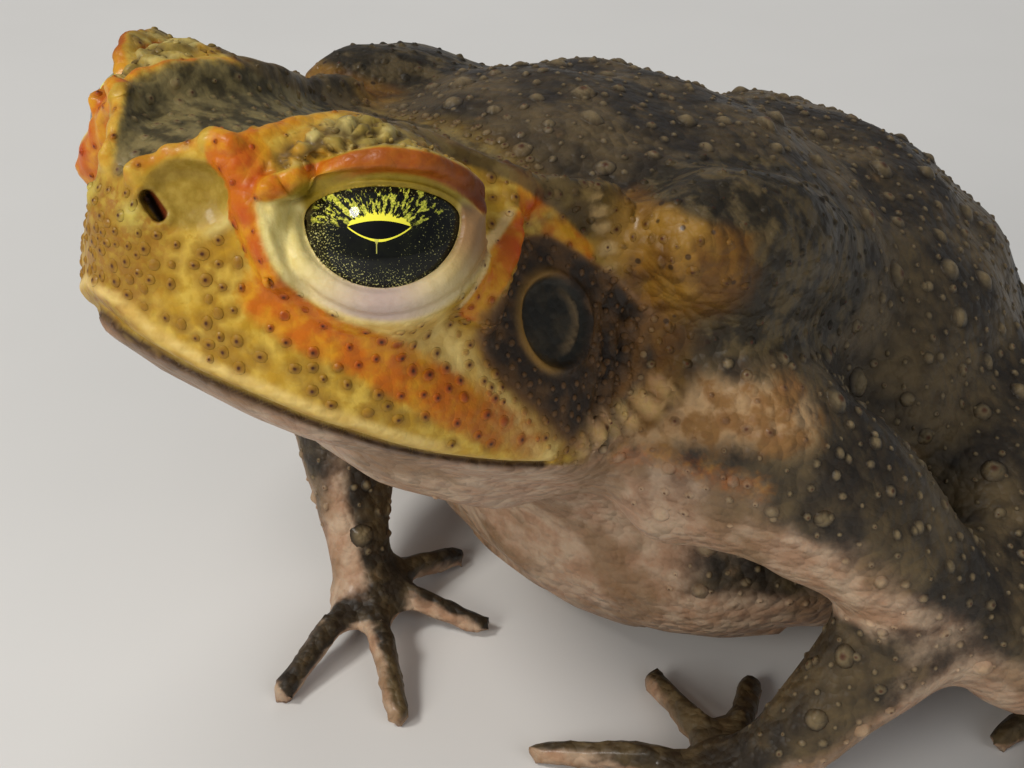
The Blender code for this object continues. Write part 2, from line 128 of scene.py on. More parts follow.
def to_eye(head):
    """Folded places in the head's axes, in the eye's axes a, b and c."""
    offset = head - EYEBALL
    return np.stack((offset @ ACROSS, offset @ UPWARD, offset @ SIGHT), axis=1)


print("the eyes look", SIGHT.round(2), "in the head's axes")

# %% [markdown]
# A few helpers keep the cells short. A modifier is added and applied in one call, and a mesh's places are
# read and written as one array, so that a stroke of the sculpting is one line of arithmetic.

# %% Helpers for objects and meshes


def add(name, data):
    """Puts an object with this data into the scene."""
    obj = bpy.data.objects.new(name, data)
    bpy.context.scene.collection.objects.link(obj)
    return obj


def choose(*objects):
    """Selects these objects alone and makes the first one active."""
    bpy.ops.object.select_all(action="DESELECT")
    for obj in objects:
        obj.select_set(True)
    bpy.context.view_layer.objects.active = objects[0]


def edit_whole(obj, operator, **settings):
    """Runs one operator on the whole of a mesh in edit mode."""
    choose(obj)
    bpy.ops.object.mode_set(mode="EDIT")
    bpy.ops.mesh.select_all(action="SELECT")
    operator(**settings)
    bpy.ops.object.mode_set(mode="OBJECT")


def finish_modifier(obj, kind, **settings):
    modifier = obj.modifiers.new(kind.title(), kind)
    for name, value in settings.items():
        setattr(modifier, name, value)
    choose(obj)
    bpy.ops.object.modifier_apply(modifier=modifier.name)


def read(items, what, width, kind=np.float32):
    values = np.empty(len(items) * width, kind)
    items.foreach_get(what, values)
    return values.reshape(-1, width)


def places_of(obj):
    return read(obj.data.vertices, "co", 3).astype(float) / MM


def normals_of(obj):
    return read(obj.data.vertex_normals, "vector", 3).astype(float)


def move_to(obj, places):
    obj.data.vertices.foreach_set("co", (places * MM).astype(np.float32).ravel())
    obj.data.update()


def ease(value, start, end):
    """0 at start and 1 at end, with a soft turn at both."""
    t = np.clip((value - start) / (end - start), 0, 1)
    return t * t * (3 - 2 * t)


def hump(distance, width):
    """A round hump: 1 at no distance, and next to nothing at twice the width."""
    return np.exp(-((distance / width) ** 2))


def rumple(places, size, seed):
    """Smooth noise from about -1 to 1, whose lumps are this many millimetres apart."""
    shift = Vector((seed * 7.31, seed * 3.17, seed * 5.71))
    return np.array([noise.noise(Vector(place) / size + shift) for place in places]) * 1.6


print("helpers ready")

# %% [markdown]
# ## The skin
# A toad has one skin from lip to toe. The solids stop short of each other by a thin gap, so copies of them
# are swollen until they overlap, and a voxel remesh melts them into a single closed surface. A ball goes into
# each eye socket, because the lids are shaped later from a whole bulge. Remeshing was chosen over joining the
# solids with booleans, because it leaves even quads that can be smoothed and sculpted.

# %% Melt the solids of flesh into one skin
SWELLING = 0.35
SKIN_GRID = 1.06
SOCKET_FILL = 0.8
WELD = 0.01

lumps = []
for name in FLESH:
    lump = add("lump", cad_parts[name].data.copy())
    edit_whole(lump, bpy.ops.mesh.remove_doubles, threshold=WELD * MM)
    finish_modifier(lump, "DISPLACE", strength=SWELLING * MM, mid_level=0)
    lumps.append(lump)
for side in SIDES:
    bpy.ops.object.select_all(action="DESELECT")
    ball = {"radius": (EYE_RADIUS + SOCKET_FILL) * MM, "location": EYE_MIDDLES[side] * MM}
    bpy.ops.mesh.primitive_uv_sphere_add(segments=48, ring_count=24, **ball)
    lumps.append(bpy.context.active_object)
choose(*lumps)
bpy.ops.object.join()
skin = bpy.context.active_object
skin.name = "skin"
skin.data.name = "skin"
finish_modifier(skin, "REMESH", mode="VOXEL", voxel_size=SKIN_GRID * MM, adaptivity=0)
print("the melted skin has", len(skin.data.polygons), "faces")

# %% Keep the outer shell only
edit_whole(skin, bpy.ops.mesh.separate, type="LOOSE")
shells = sorted(bpy.context.selected_objects, key=lambda shell: -len(shell.data.polygons))
skin = shells[0]
skin.name = "skin"
for inner in shells[1:]:
    bpy.data.objects.remove(inner, do_unlink=True)
print("the outer shell has", len(skin.data.polygons), "faces;", len(shells) - 1, "inner shells removed")

# %% [markdown]
# The solids are faceted, so the skin is smoothed until no facet is left. Plain smoothing would shrink the
# limbs. Here each round moves a point towards its neighbours and then a little further back, which takes out
# the facets and keeps the girth. The body takes many rounds, the head fewer and the thin digits very little.

# %% Smooth the facets away


def smooth(obj, rounds, amount, back=-0.52):
    """Moves each place towards the middle of its neighbours and partly back; amount is 0 to 1 per place."""
    first, second = read(obj.data.edges, "vertices", 2, np.int32).T
    places = places_of(obj)
    count = len(places)
    neighbours = np.bincount(first, minlength=count) + np.bincount(second, minlength=count)
    for _ in range(rounds):
        for step in (0.5, back):
            middles = np.empty_like(places)
            for axis in range(3):
                sums = np.bincount(first, places[second, axis], count)
                sums += np.bincount(second, places[first, axis], count)
                middles[:, axis] = sums / neighbours
            places += step * amount[:, None] * (middles - places)
    move_to(obj, places)


DIGIT_BOXES = [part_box(f"{part}_{side}") for part in ("hand", "foot") for side in SIDES]


def in_digits(places):
    """1 in the hands and feet, 0 elsewhere."""
    inside = np.zeros(len(places))
    for low, high in DIGIT_BOXES:
        within = np.all((places > np.array(low) / MM - 1) & (places < np.array(high) / MM + 1), axis=1)
        inside[within] = 1
    return inside


places = places_of(skin)
on_head = ease(to_head(places)[:, 1], -6, 2)
on_digit = in_digits(places)
smooth(skin, 10, 1 - 0.7 * on_digit)
smooth(skin, 45, (1 - on_head) * (1 - on_digit))
move_to(skin, places_of(skin) - normals_of(skin) * SWELLING)
print("smoothed", len(places), "places")

# %% [markdown]
# Loose skin over muscle is never quite even. Slow noise gives the trunk and limbs soft lumps and hollows.
# The head keeps its shape, because its form comes from bone.

# %% Give the body soft unevenness
places = places_of(skin)
normals = normals_of(skin)
on_body = (1 - ease(to_head(places)[:, 1], -8, 0)) * (1 - in_digits(places))
unevenness = 0.55 * rumple(places, 13, 1) + 0.22 * rumple(places, 5, 2)
move_to(skin, places + normals * (unevenness * on_body)[:, None])
print("the body's skin moves by up to", round(float(np.abs(unevenness).max()), 2), "mm")

# %% [markdown]
# ## Lines of the face
# A cane toad is known by the bony crests that frame its eyes and nose. They are lines in the head's axes, and
# so are the mouth, the orange band over the lip and the cheek below the eye. The same lines steer the
# sculpting, the colours and the warts, so shape and marking always agree.

# %% The crests, the mouth and the bands of colour
BROW = (7.9, 30.5, 15.4)
REAR_CORNER = (14.0, 8.0, 17.8)
CANTHAL = (
    (1.8, 34.4, 11.3), (2.5, 33.8, 12.8), (3.7, 32.9, 14.0), (5.0, 32.1, 14.7), (6.3, 31.2, 15.2), BROW,
)
PREORBITAL = (
    BROW, (9.2, 30.4, 14.6), (9.9, 30.1, 13.5), (10.4, 30.0, 12.1), (11.0, 29.9, 10.9), (11.9, 29.6, 9.7),
    (13.8, 28.5, 7.3),
)
SUPRAORBITAL = (
    BROW, (8.4, 28.4, 17.1), (8.0, 25.5, 18.1), (8.2, 20.5, 18.8), (10.2, 13.5, 18.8), REAR_CORNER,
)
POSTORBITAL = (
    REAR_CORNER, (16.6, 7.0, 17.0), (18.0, 7.4, 15.9), (19.4, 9.3, 14.8), (20.2, 11.2, 13.4),
    (20.7, 12.7, 11.6), (21.0, 14.2, 8.8),
)
SUPRATYMPANIC = ((17.6, 7.0, 16.4), (17.4, 4.4, 15.5), (17.9, 2.8, 14.7), (18.9, 1.0, 13.5))
CRESTS = (CANTHAL, PREORBITAL, SUPRAORBITAL, POSTORBITAL, SUPRATYMPANIC)
CREST_HEIGHTS = (1.5, 0.55, 0.6, 0.75, 0.5)
CREST_WIDTHS = (0.85, 1.6, 0.95, 1.15, 0.95)
MOUTH = (
    (0.0, 33.2, -0.1), (1.0, 32.7, -0.6), (2.8, 31.8, -1.4), (4.2, 30.7, -1.9), (7.1, 28.6, -2.6),
    (11.0, 25.9, -3.0), (14.6, 23.0, -3.4), (17.2, 19.8, -3.7), (19.1, 15.7, -4.3), (19.8, 12.8, -4.6),
    (22.1, 6.8, -4.4), (23.1, 2.8, -4.1),
)
LABIAL = (
    (12.4, 28.0, 5.4), (15.0, 25.0, 4.3), (17.6, 21.9, 3.7), (19.4, 18.5, 2.4), (22.4, 10.3, -0.4),
    (23.6, 5.9, -1.8),
)
CHEEK = ((19.0, 24.0, 6.6), (21.0, 19.0, 6.0), (21.4, 13.5, 4.2), (22.8, 9.0, 1.4), (23.8, 3.6, -1.4))
CROWN_EDGE = (
    (-6.0, 18.5), (3.0, 17.6), (6.0, 16.6), (8.5, 13.4), (13.5, 9.8), (20.5, 8.0), (30.5, 7.9), (31.2, 6.3),
    (32.1, 5.0), (32.9, 3.8), (33.7, 2.7), (35.0, 0.0),
)
TYMPANUM = np.array((20.6, 3.3, 7.7))
TYMPANUM_RADIUS = 3.75
NOSTRIL = ((3.4, 33.9, 9.8), (4.4, 33.2, 8.9))
NOSE_PIT = np.array((5.6, 32.0, 11.1))
NOSE_PIT_LONG = np.array((0.81, -0.48, 0.34))
NOSE_PIT_RADII = (3.7, 2.8)
NOSTRIL_MIDDLE = np.array((3.9, 33.5, 9.3))
NOSTRIL_REAR = np.array((0.47, -0.55, 0.69))
NOSTRIL_OUT = np.array((0.65, 0.74, 0.15))
SNOUT_KNOB = np.array((2.7, 34.3, 8.2))
GLAND_LOBE = np.array((18.2, -3.4, 16.2))
GLAND_EDGE = ((18.7, 0.7, 18.0), (18.9, -0.4, 16.5), (19.3, -1.1, 14.9), (20.0, -1.6, 13.4))
NECK_KNOBS = ((23.6, -1.6, -1.2), (24.2, -5.0, 0.4), (25.2, -7.8, 3.2))

for line in CRESTS:
    print("a crest of", round(float(np.linalg.norm(np.diff(line, axis=0), axis=1).sum())), "mm")

# %% How far places lie from the lines
FAR_AWAY = 99.0


def at(table, values):
    """Reads a small table of pairs at these values, along straight lines."""
    pairs = np.array(table, float)
    return np.interp(values, pairs[:, 0], pairs[:, 1])


def curve_through(points, steps=6):
    """A smooth line through a few points, as many more points."""
    points = np.array(points, float)
    padded = np.vstack((2 * points[0] - points[1], points, 2 * points[-1] - points[-2]))
    t = np.arange(steps)[:, None] / steps
    stretches = []
    for p, q, r, s in zip(padded, padded[1:], padded[2:], padded[3:]):
        bend = (2 * p - 5 * q + 4 * r - s) * t**2 + (3 * q - p - 3 * r + s) * t**3
        stretches.append(q + 0.5 * ((r - p) * t + bend))
    return np.vstack(stretches + [points[-1:]])


def distance_to(line, places):
    """How far places are from a smooth line, and how far along the line they are, from 0 to 1."""
    line = curve_through(line)
    lengths = np.linalg.norm(np.diff(line, axis=0), axis=1)
    nearest = np.full(len(places), 1e9)
    share = np.zeros(len(places))
    done = 0.0
    for start, end, length in zip(line, line[1:], lengths):
        along = (end - start) / length
        reach = np.clip((places - start) @ along, 0, length)
        distance = np.linalg.norm(places - start - reach[:, None] * along, axis=1)
        closer = distance < nearest
        nearest[closer] = distance[closer]
        share[closer] = (done + reach[closer]) / lengths.sum()
        done += length
    return nearest, share


def gap_to(line, places):
    return distance_to(line, places)[0]


def gap_to_spot(spot, places):
    return np.linalg.norm(places - np.array(spot), axis=1)


def crest_distance(head):
    return np.min([gap_to(line, head) for line in CRESTS], axis=0)


def crest_relief(head):
    """How high the crests stand: a low broad one before the eye, narrow ones elsewhere."""
    shapes = zip(CRESTS, CREST_HEIGHTS, CREST_WIDTHS)
    return np.max([height * hump(gap_to(line, head), width) for line, height, width in shapes], axis=0)


def pit_reach(head):
    """1 on the outline of the smooth pit behind the nostril, less inside it."""
    offset = head - NOSE_PIT
    along = offset @ NOSE_PIT_LONG
    aside = np.sqrt(np.maximum((offset**2).sum(axis=1) - along**2, 0))
    return np.hypot(along / NOSE_PIT_RADII[0], aside / NOSE_PIT_RADII[1])


def nostril_distance(head):
    """How far places lie beside the nostril, whatever their depth in it."""
    depth = (head - NOSTRIL_MIDDLE) @ NOSTRIL_OUT
    beside = gap_to(NOSTRIL, head - depth[:, None] * NOSTRIL_OUT)
    return np.where(np.abs(depth) < 3.5, beside, FAR_AWAY)


def mouth_height(head):
    """How high places lie over the mouth line, or far away where there is no mouth."""
    line = [(f, u) for _, f, u in reversed(MOUTH)]
    return np.where(head[:, 1] > 2, head[:, 2] - at(line, head[:, 1]), FAR_AWAY)


def crown_edge(f):
    """How far out the bony crown reaches at f."""
    return at(CROWN_EDGE, f)


def ear_distance(head):
    """Distance from the middle of the eardrum, measured over the side of the head."""
    beside = np.hypot(head[:, 1] - TYMPANUM[1], head[:, 2] - TYMPANUM[2])
    return np.where(head[:, 0] > 12, beside, FAR_AWAY)


mouth_gap = gap_to(MOUTH, TYMPANUM[None])[0]
print("the mouth line lies", round(float(mouth_gap), 1), "mm from the middle of the eardrum")

# %% [markdown]
# The opening of the eye is a lying oval, flatter above than below. Above it runs a narrow bare band, then a
# thick orange roll, and below it a smooth swollen lid, closed off by a furrow. They are lines in the eye's a
# and b axes.

# %% The lids' lines
OPENING_MIDDLE = np.array((-0.26, 1.6))
OPENING_HALF_WIDTH = 5.86
OPENING_RISE = 2.3
OPENING_FALL = 5.2
LID_ROLL = (
    (-8.9, 3.6), (-7.4, 4.0), (-6.1, 4.4), (-4.1, 5.0), (-1.9, 5.6), (-0.2, 5.8), (1.8, 5.7), (3.4, 5.4),
    (5.3, 4.7), (6.9, 3.7), (7.8, 2.8),
)
COBBLE = 1.45
LOWER_LID = (
    (-7.9, 2.7), (-7.3, -0.2), (-5.9, -2.4), (-3.4, -3.9), (-0.2, -4.6), (2.9, -4.1), (5.4, -2.3),
    (6.9, 0.0), (7.2, 2.4),
)
LID_FURROW = (
    (-8.9, 2.8), (-8.2, 0.2), (-7.0, -2.3), (-4.8, -4.6), (-1.2, -5.9), (2.5, -5.5), (5.8, -3.8),
    (7.9, -1.2), (8.6, 1.8),
)


def opening_gap(eye):
    """Distance outwards from the edge of the eye's opening in the a-b plane, and the direction outwards."""
    across = eye[:, 0] - OPENING_MIDDLE[0]
    upward = eye[:, 1] - OPENING_MIDDLE[1]
    height = np.where(upward > 0, OPENING_RISE, OPENING_FALL)
    radius = np.hypot(across / OPENING_HALF_WIDTH, upward / height) + 1e-6
    slope = np.stack((across / OPENING_HALF_WIDTH**2, upward / height**2), axis=1) / radius[:, None]
    steepness = np.linalg.norm(slope, axis=1) + 1e-6
    return (radius - 1) / steepness, slope / steepness[:, None]


def off_sight(eye):
    """How far places lie from the line of sight."""
    return np.hypot(eye[:, 0], eye[:, 1])


def round_the_eye(eye):
    """1 on the lids and near them, 0 behind the eye and farther off."""
    return ease(eye[:, 2], -1.5, 0.5) * (1 - ease(off_sight(eye), 9.8, 11.2))


def lid_top_share(head, eye, roll_gap):
    """1 on the cobbled top of the eyelid, over the roll and inside the crests."""
    share = round_the_eye(eye) * ease(eye[:, 1], 4.4, 5.6) * ease(roll_gap, 0.9, 1.2)
    return share * ease(crest_distance(head), 0.9, 1.6)


def cobble_top(eye, share):
    """0 in the creases between the lid's cobbles and 1 on their tops, where the share is not nought."""
    top = np.ones(len(eye))
    for index in np.flatnonzero(share > 0.02):
        spot = (eye[index, 0] / COBBLE, eye[index, 1] / COBBLE, 0.4)
        nearest, second = noise.voronoi(spot)[0][:2]
        top[index] = second - nearest
    return ease(top, 0.02, 0.42)


def flat_distance(line, eye):
    """Distance to a line of the lids, in the a-b plane."""
    return distance_to(line, eye[:, :2])


print("the eye opens", 2 * OPENING_HALF_WIDTH, "mm by", OPENING_RISE + OPENING_FALL, "mm")

# %% [markdown]
# Even quads of a millimetre suit the back, but not an eyelid. The faces near a detail are selected by their
# place and subdivided, once on the whole face, again on lids, crests, mouth, ear and nose, and a third time
# along the rim of the lids and the nostrils. That spends the triangles where the eye looks.

# %% Finer faces where the detail is


def face_middles(obj):
    return read(obj.data.polygons, "center", 3).astype(float) / MM


def subdivide(obj, chosen):
    """Splits the chosen faces once."""
    choose(obj)
    bpy.ops.object.mode_set(mode="EDIT")
    bpy.ops.mesh.select_mode(type="FACE")
    bpy.ops.mesh.select_all(action="DESELECT")
    bpy.ops.object.mode_set(mode="OBJECT")
    obj.data.polygons.foreach_set("select", chosen)
    bpy.ops.object.mode_set(mode="EDIT")
    bpy.ops.mesh.subdivide(number_cuts=1)
    bpy.ops.object.mode_set(mode="OBJECT")


def in_face(head):
    """The face without the crown between its crests and without the throat."""
    x, f, u = head.T
    return (f > -8) & (u > -6.5) & (u < 23) & (x > crown_edge(f) - 3)


def in_features(head):
    eye = to_eye(head)
    lids = (opening_gap(eye)[0] < 4.2) & (eye[:, 2] > 0) & (off_sight(eye) < 11)
    nose = nostril_distance(head) < 2.0
    mouth = np.abs(mouth_height(head)) < 1.0
    ear = np.abs(ear_distance(head) - TYMPANUM_RADIUS) < 0.8
    return lids | nose | mouth | ear | (crest_distance(head) < 1.4)


def in_rims(head):
    eye = to_eye(head)
    lids = (np.abs(opening_gap(eye)[0]) < 0.5) & (eye[:, 2] > 0)
    return lids | (nostril_distance(head) < 0.9)


for region in (in_face, in_features, in_rims):
    subdivide(skin, region(folded(face_middles(skin))))
    softened = region(folded(places_of(skin))).astype(float)
    smooth(skin, 4, softened)
    skin.data.calc_loop_triangles()
    print(region.__name__, "leaves", len(skin.data.loop_triangles), "triangles")

# %% [markdown]
# ## Sculpting the head
# Each stroke pushes the skin along its own normal by a height that falls off with the distance from a line,
# as a sculptor's brush does. The crests come first, each with a shallow gutter on both sides.

# %% Crests, nose, mouth and ears


def push(obj, height):
    move_to(obj, places_of(obj) + normals_of(obj) * height[:, None])


NOSTRIL_DEPTH = 1.8
PIT_DEPTH = 0.6
SNOUT_KNOB_RISE = 0.42
DRUM_DEPTH = 0.5
DRUM_RING_RISE = 0.34
DRUM_FOLD_RISE = 0.3
MOUTH_DEPTH = 0.62
LIP_RISE = 0.4

head = folded(places_of(skin))
crest_gap = crest_distance(head)
knots = 0.17 * rumple(places_of(skin), 1.5, 3) * hump(crest_gap, 1.3)
push(skin, crest_relief(head) - 0.2 * hump(crest_gap - 2.5, 0.6) + knots)

head = folded(places_of(skin))
pit = pit_reach(head)
pit_rim = 0.25 * hump(pit - 1.14, 0.13) * ease(head[:, 0], 6.4, 8.0)
nostril_rim = 0.16 * hump(nostril_distance(head) - 0.95, 0.3)
snout_knob = SNOUT_KNOB_RISE * hump(gap_to_spot(SNOUT_KNOB, head), 1.0)
push(skin, snout_knob - PIT_DEPTH * (1 - ease(pit, 0.4, 1.05)) + pit_rim + nostril_rim)
head = folded(places_of(skin))
push(skin, -NOSTRIL_DEPTH * (1 - ease(nostril_distance(head), 0.2, 0.62)))

head = folded(places_of(skin))
ear_gap = ear_distance(head)
drum = 1 - ease(ear_gap, TYMPANUM_RADIUS - 0.9, TYMPANUM_RADIUS - 0.1)
ring = DRUM_RING_RISE * hump(ear_gap - TYMPANUM_RADIUS, 0.3)
fold_in_drum = DRUM_FOLD_RISE * hump(ear_gap - 2.5, 0.28) * ease(TYMPANUM[1] - head[:, 1], 0.4, 1.8)
groove = MOUTH_DEPTH * hump(mouth_height(head), 0.34)
push(skin, ring - DRUM_DEPTH * drum + fold_in_drum * drum - groove)
push(skin, LIP_RISE * hump(mouth_height(folded(places_of(skin))) - 1.2, 0.6))
print("sculpted", len(CRESTS), "crests a side, the nose, the mouth and the ears")

# %% [markdown]
# Behind the ear the skin hangs in narrow upright wrinkles, and thinner ones lie under the lower lid. A
# wrinkle is a rounded ridge with a sharp valley, which is what the absolute value of a sine gives.

# %% Wrinkles of the neck and under the eye


def wrinkles(distance, spacing):
    """Round ridges with sharp valleys between them, from -1 to 0."""
    return np.abs(np.sin(np.pi * distance / spacing)) - 1


def curl_wrinkles(head, sway):
    return wrinkles(head[:, 2] + 0.5 * head[:, 1] + 0.4 * sway, 1.8)


def knob_wrinkles(head, sway):
    return wrinkles(head[:, 2] - head[:, 1] + 0.3 * sway, 2.6)


head = folded(places_of(skin))
sway = rumple(places_of(skin), 5, 4)
behind_ear = hump(head[:, 1] + 3.6, 2.9) * ease(head[:, 0], 14, 18)
behind_ear *= ease(head[:, 2], -5, -1) * (1 - ease(head[:, 2], 9, 12))
behind_ear *= ease(ear_gap, TYMPANUM_RADIUS + 0.3, TYMPANUM_RADIUS + 1)
push(skin, 0.8 * behind_ear * wrinkles(head[:, 1] + 0.7 * sway + 0.12 * head[:, 2], 1.8))

head = folded(places_of(skin))
lobe = hump(gap_to_spot(GLAND_LOBE, head), 4.2)
curls = hump(gap_to(GLAND_EDGE, head), 1.5) * (1 + curl_wrinkles(head, sway))
knobs = hump(gap_to(NECK_KNOBS, head), 1.5) * (1 + knob_wrinkles(head, sway))
push(skin, 1.0 * lobe + 0.5 * curls + 0.7 * knobs)

head = folded(places_of(skin))
eye = to_eye(head)
furrow_gap = flat_distance(LID_FURROW, eye)[0]
below_lid = ease(-eye[:, 1], 0.5, 2.5) * ease(eye[:, 2], 0, 2) * (1 - ease(furrow_gap, 2.2, 3.4))
below_lid *= ease(opening_gap(eye)[0], 2.6, 3.2)
push(skin, 0.14 * below_lid * wrinkles(furrow_gap + 0.25 * sway, 0.85))
print("wrinkles done")

# %% [markdown]
# ## The eyelids
# The bulge over the eye is opened by moving places, not by cutting. Inside the opening the skin sinks behind
# the eyeball. The places nearest the edge are slid exactly onto the oval, which gives the lid a clean rim a
# little proud of the eyeball. From its rim the lid runs outwards, flatter than the ball, rises to the bare
# band above and to the swollen pad below, and then meets the face.

# %% Open and shape the lids
RIM_SNAP = 0.09
LID_EDGE = 0.08
LID_SLOPE = 0.42
SUNK_RADIUS = EYE_RADIUS - 1.0


def lid_rise(gap, eye):
    """How far the lid stands up, at a distance from its rim."""
    upper = ease(eye[:, 1], 0.8, 2.6)
    edge = 0.36 * ease(gap, 0.0, 0.5)
    band = edge + 0.45 * ease(gap, 1.0, 2.2)
    pad = edge + 0.5 * hump(gap - 1.2, 0.85)
    return upper * band + (1 - upper) * pad


places = places_of(skin)
signs = np.where(to_head(places)[:, :1] < 0, -1.0, 1.0)
head = folded(places)
eye = to_eye(head)
gap, outward = opening_gap(eye)
from_sight = off_sight(eye)
near_eye = (eye[:, 2] > -1.0) & (from_sight < 12)

snapped = near_eye & (np.abs(gap) < RIM_SNAP)
eye[snapped, :2] -= outward[snapped] * gap[snapped, None]
gap[snapped] = 0
rim = eye[:, :2] - outward * np.maximum(gap, 0)[:, None]
rim_reach = np.minimum(np.hypot(rim[:, 0], rim[:, 1]), 0.95 * EYE_RADIUS)
rim_height = np.sqrt((EYE_RADIUS + LID_EDGE) ** 2 - rim_reach**2)
towards_nose = ease(-eye[:, 0], 4.0, 7.0)
slope = LID_SLOPE * (1 - 0.6 * towards_nose)
lid = rim_height + lid_rise(gap, eye) - slope * gap * rim_reach / rim_height
share = 1 - ease(gap, 1.3 - 0.2 * towards_nose, 4.2 - 1.7 * towards_nose)
sunk = np.sqrt(np.maximum(SUNK_RADIUS**2 - from_sight**2, 1.0))
eye[:, 2] = np.where(gap < 0, sunk, eye[:, 2] + share * (lid - eye[:, 2]))
shaped = EYEBALL + eye[:, :1] * ACROSS + eye[:, 1:2] * UPWARD + eye[:, 2:3] * SIGHT
shaped[:, :1] *= signs
places[near_eye] = from_head(shaped)[near_eye]
move_to(skin, places)
print("opened the lids:", int(snapped.sum()), "places on their rims")

# %% The roll, the lower pad and the furrow
PAD_FRONT = ((-8.2, 2.4), (-7.9, 0.4), (-6.9, -1.8))
head = folded(places_of(skin))
eye = to_eye(head)
gap = opening_gap(eye)[0]
facing = ease(eye[:, 2], -1.0, 1.0) * ease(gap, 0.3, 0.8) * (1 - ease(off_sight(eye), 10, 11))
roll_gap, along_roll = flat_distance(LID_ROLL, eye)
roll_size = 1.4 - 0.3 * ease(along_roll, 0.1, 0.4) - 0.55 * ease(along_roll, 0.8, 1.0)
roll_size += 0.3 * rumple(places_of(skin), 1.7, 6)
furrow_gap = flat_distance(LID_FURROW, eye)[0]
stroke = roll_size * hump(roll_gap, 0.85) - 0.45 * hump(roll_gap - 1.3, 0.35) * ease(eye[:, 1], 2, 4)
stroke -= 0.3 * hump(furrow_gap, 0.32)
stroke += 0.4 * hump(flat_distance(PAD_FRONT, eye)[0], 1.6) * (1 - ease(roll_gap, 1.6, 0.8))
cobbled = lid_top_share(head, eye, roll_gap)
push(skin, stroke * facing + cobbled * (0.6 * cobble_top(eye, cobbled) - 0.3))
print("rolled the upper lid")

# %% [markdown]
# The sculpting may not reach past the solids, because the visual model keeps their size. The skin is held
# inside the box of the solids, and its lowest places are laid flat on the floor, as soft skin lies.

# %% Keep the size and lay the skin on the floor
FLOOR_CONTACT = 0.2
places = places_of(skin)
low, high = (np.array(corner) / MM for corner in CAD_BOX)
places = np.clip(places, low, high)
places[:, 2] = np.where(places[:, 2] < FLOOR_CONTACT, 0.0, places[:, 2])
move_to(skin, places)
choose(skin)
bpy.ops.object.shade_smooth()
print("the skin spans", places.min(0).round(1), "to", places.max(0).round(1), "mm")

# %% [markdown]
# ## Markings
# The colours come from masks: numbers from 0 to 1 at each place, which say how orange, cream, dark or bare
# the skin is there. They are worked out from the same lines as the shape. One function makes them, so the
# skin and every wart that grows from it carry the same markings.

# %% Lines of the markings
SHOULDER = ((25.0, -7.5, 1.0), (28.5, -10.5, 3.0), (34.0, -15.0, 5.0))
SHOULDER_FOLD = ((24.5, -6.5, -3.0), (29.5, -10.0, -2.4), (34.5, -13.5, -2.0))
RED_SPOTS = (
    (8.9, 30.4, 14.9), (10.0, 29.8, 13.6), (10.9, 29.9, 11.3), (12.3, 29.5, 9.3),
    (17.2, 6.9, 16.2), (18.0, 7.8, 15.4), (18.8, 9.0, 14.6), (19.7, 10.4, 13.2),
)
PATCH_TOP = ((-8, 9.0), (-2, 12.6), (4, 14.4), (9, 13.4), (12.5, 10.0), (16, 7.0))
# The patch's foot reaches down to the jaw's corner, and there its dark is painted shadow.
PATCH_FOOT = ((-7, 2.5), (-2, -2.0), (1, -3.4), (4, -1.6), (9, 1.0), (13, 4.2), (16, 8.0))
# Above this line the top of the face is darkened: partly the brown of the back, partly painted shade on the
# head's top.
BROWN_AND_SHADE_LINE = ((0.6, 14.4), (2.7, 15.7), (5.7, 16.6), (8.8, 17.6), (12, 17.9), (18, 18.8), (22, 20.5), (40, 24))
RED_SPOT_WIDTH = 1.5
OCHRE_STRIP = ((22.8, -5.4, 11.9), (23.8, -8.0, 8.6), (25.4, -8.4, 5.0), (24.8, -6.8, 1.4))
PATCH_FRONT = ((0, 9.0), (4, 14.0), (8, 15.0), (11, 12.4), (14, 8.5))
PATCH_REAR = ((0, -5.0), (5, -6.6), (10, -7.2))
POSTORBITAL_FRONT = ((8.8, 12.8), (11.4, 11.8), (13.6, 10.2), (16.0, 8.4), (17.8, 8.0))
ORANGE_CRESTS = (
    (CANTHAL, 0.5, 0.6, 1.3),
    (PREORBITAL, 1.0, 1.9, 2.6),
    (SUPRAORBITAL, 0.7, 0.7, 1.6),
    (POSTORBITAL, 1.0, 1.1, 1.8),
    (SUPRATYMPANIC, 0.7, 0.9, 1.8),
)
GLANDS = BVHTree.FromPolygons(
    [vertex.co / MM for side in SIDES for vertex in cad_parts[f"parotoid_{side}"].data.vertices],
    [
        [corner + shift for corner in face.vertices]
        for side, shift in (("left", 0), ("right", len(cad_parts["parotoid_left"].data.vertices)))
        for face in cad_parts[f"parotoid_{side}"].data.polygons
    ],
)


def gland_distance(places):
    """How far places lie from the glands behind the ears."""
    return np.array([GLANDS.find_nearest(place)[3] for place in places])


gland_gap = gland_distance(from_head(TYMPANUM[None]))[0]
print("the gland lies", round(float(gland_gap), 1), "mm from the middle of the eardrum")

# %% One function for all the masks


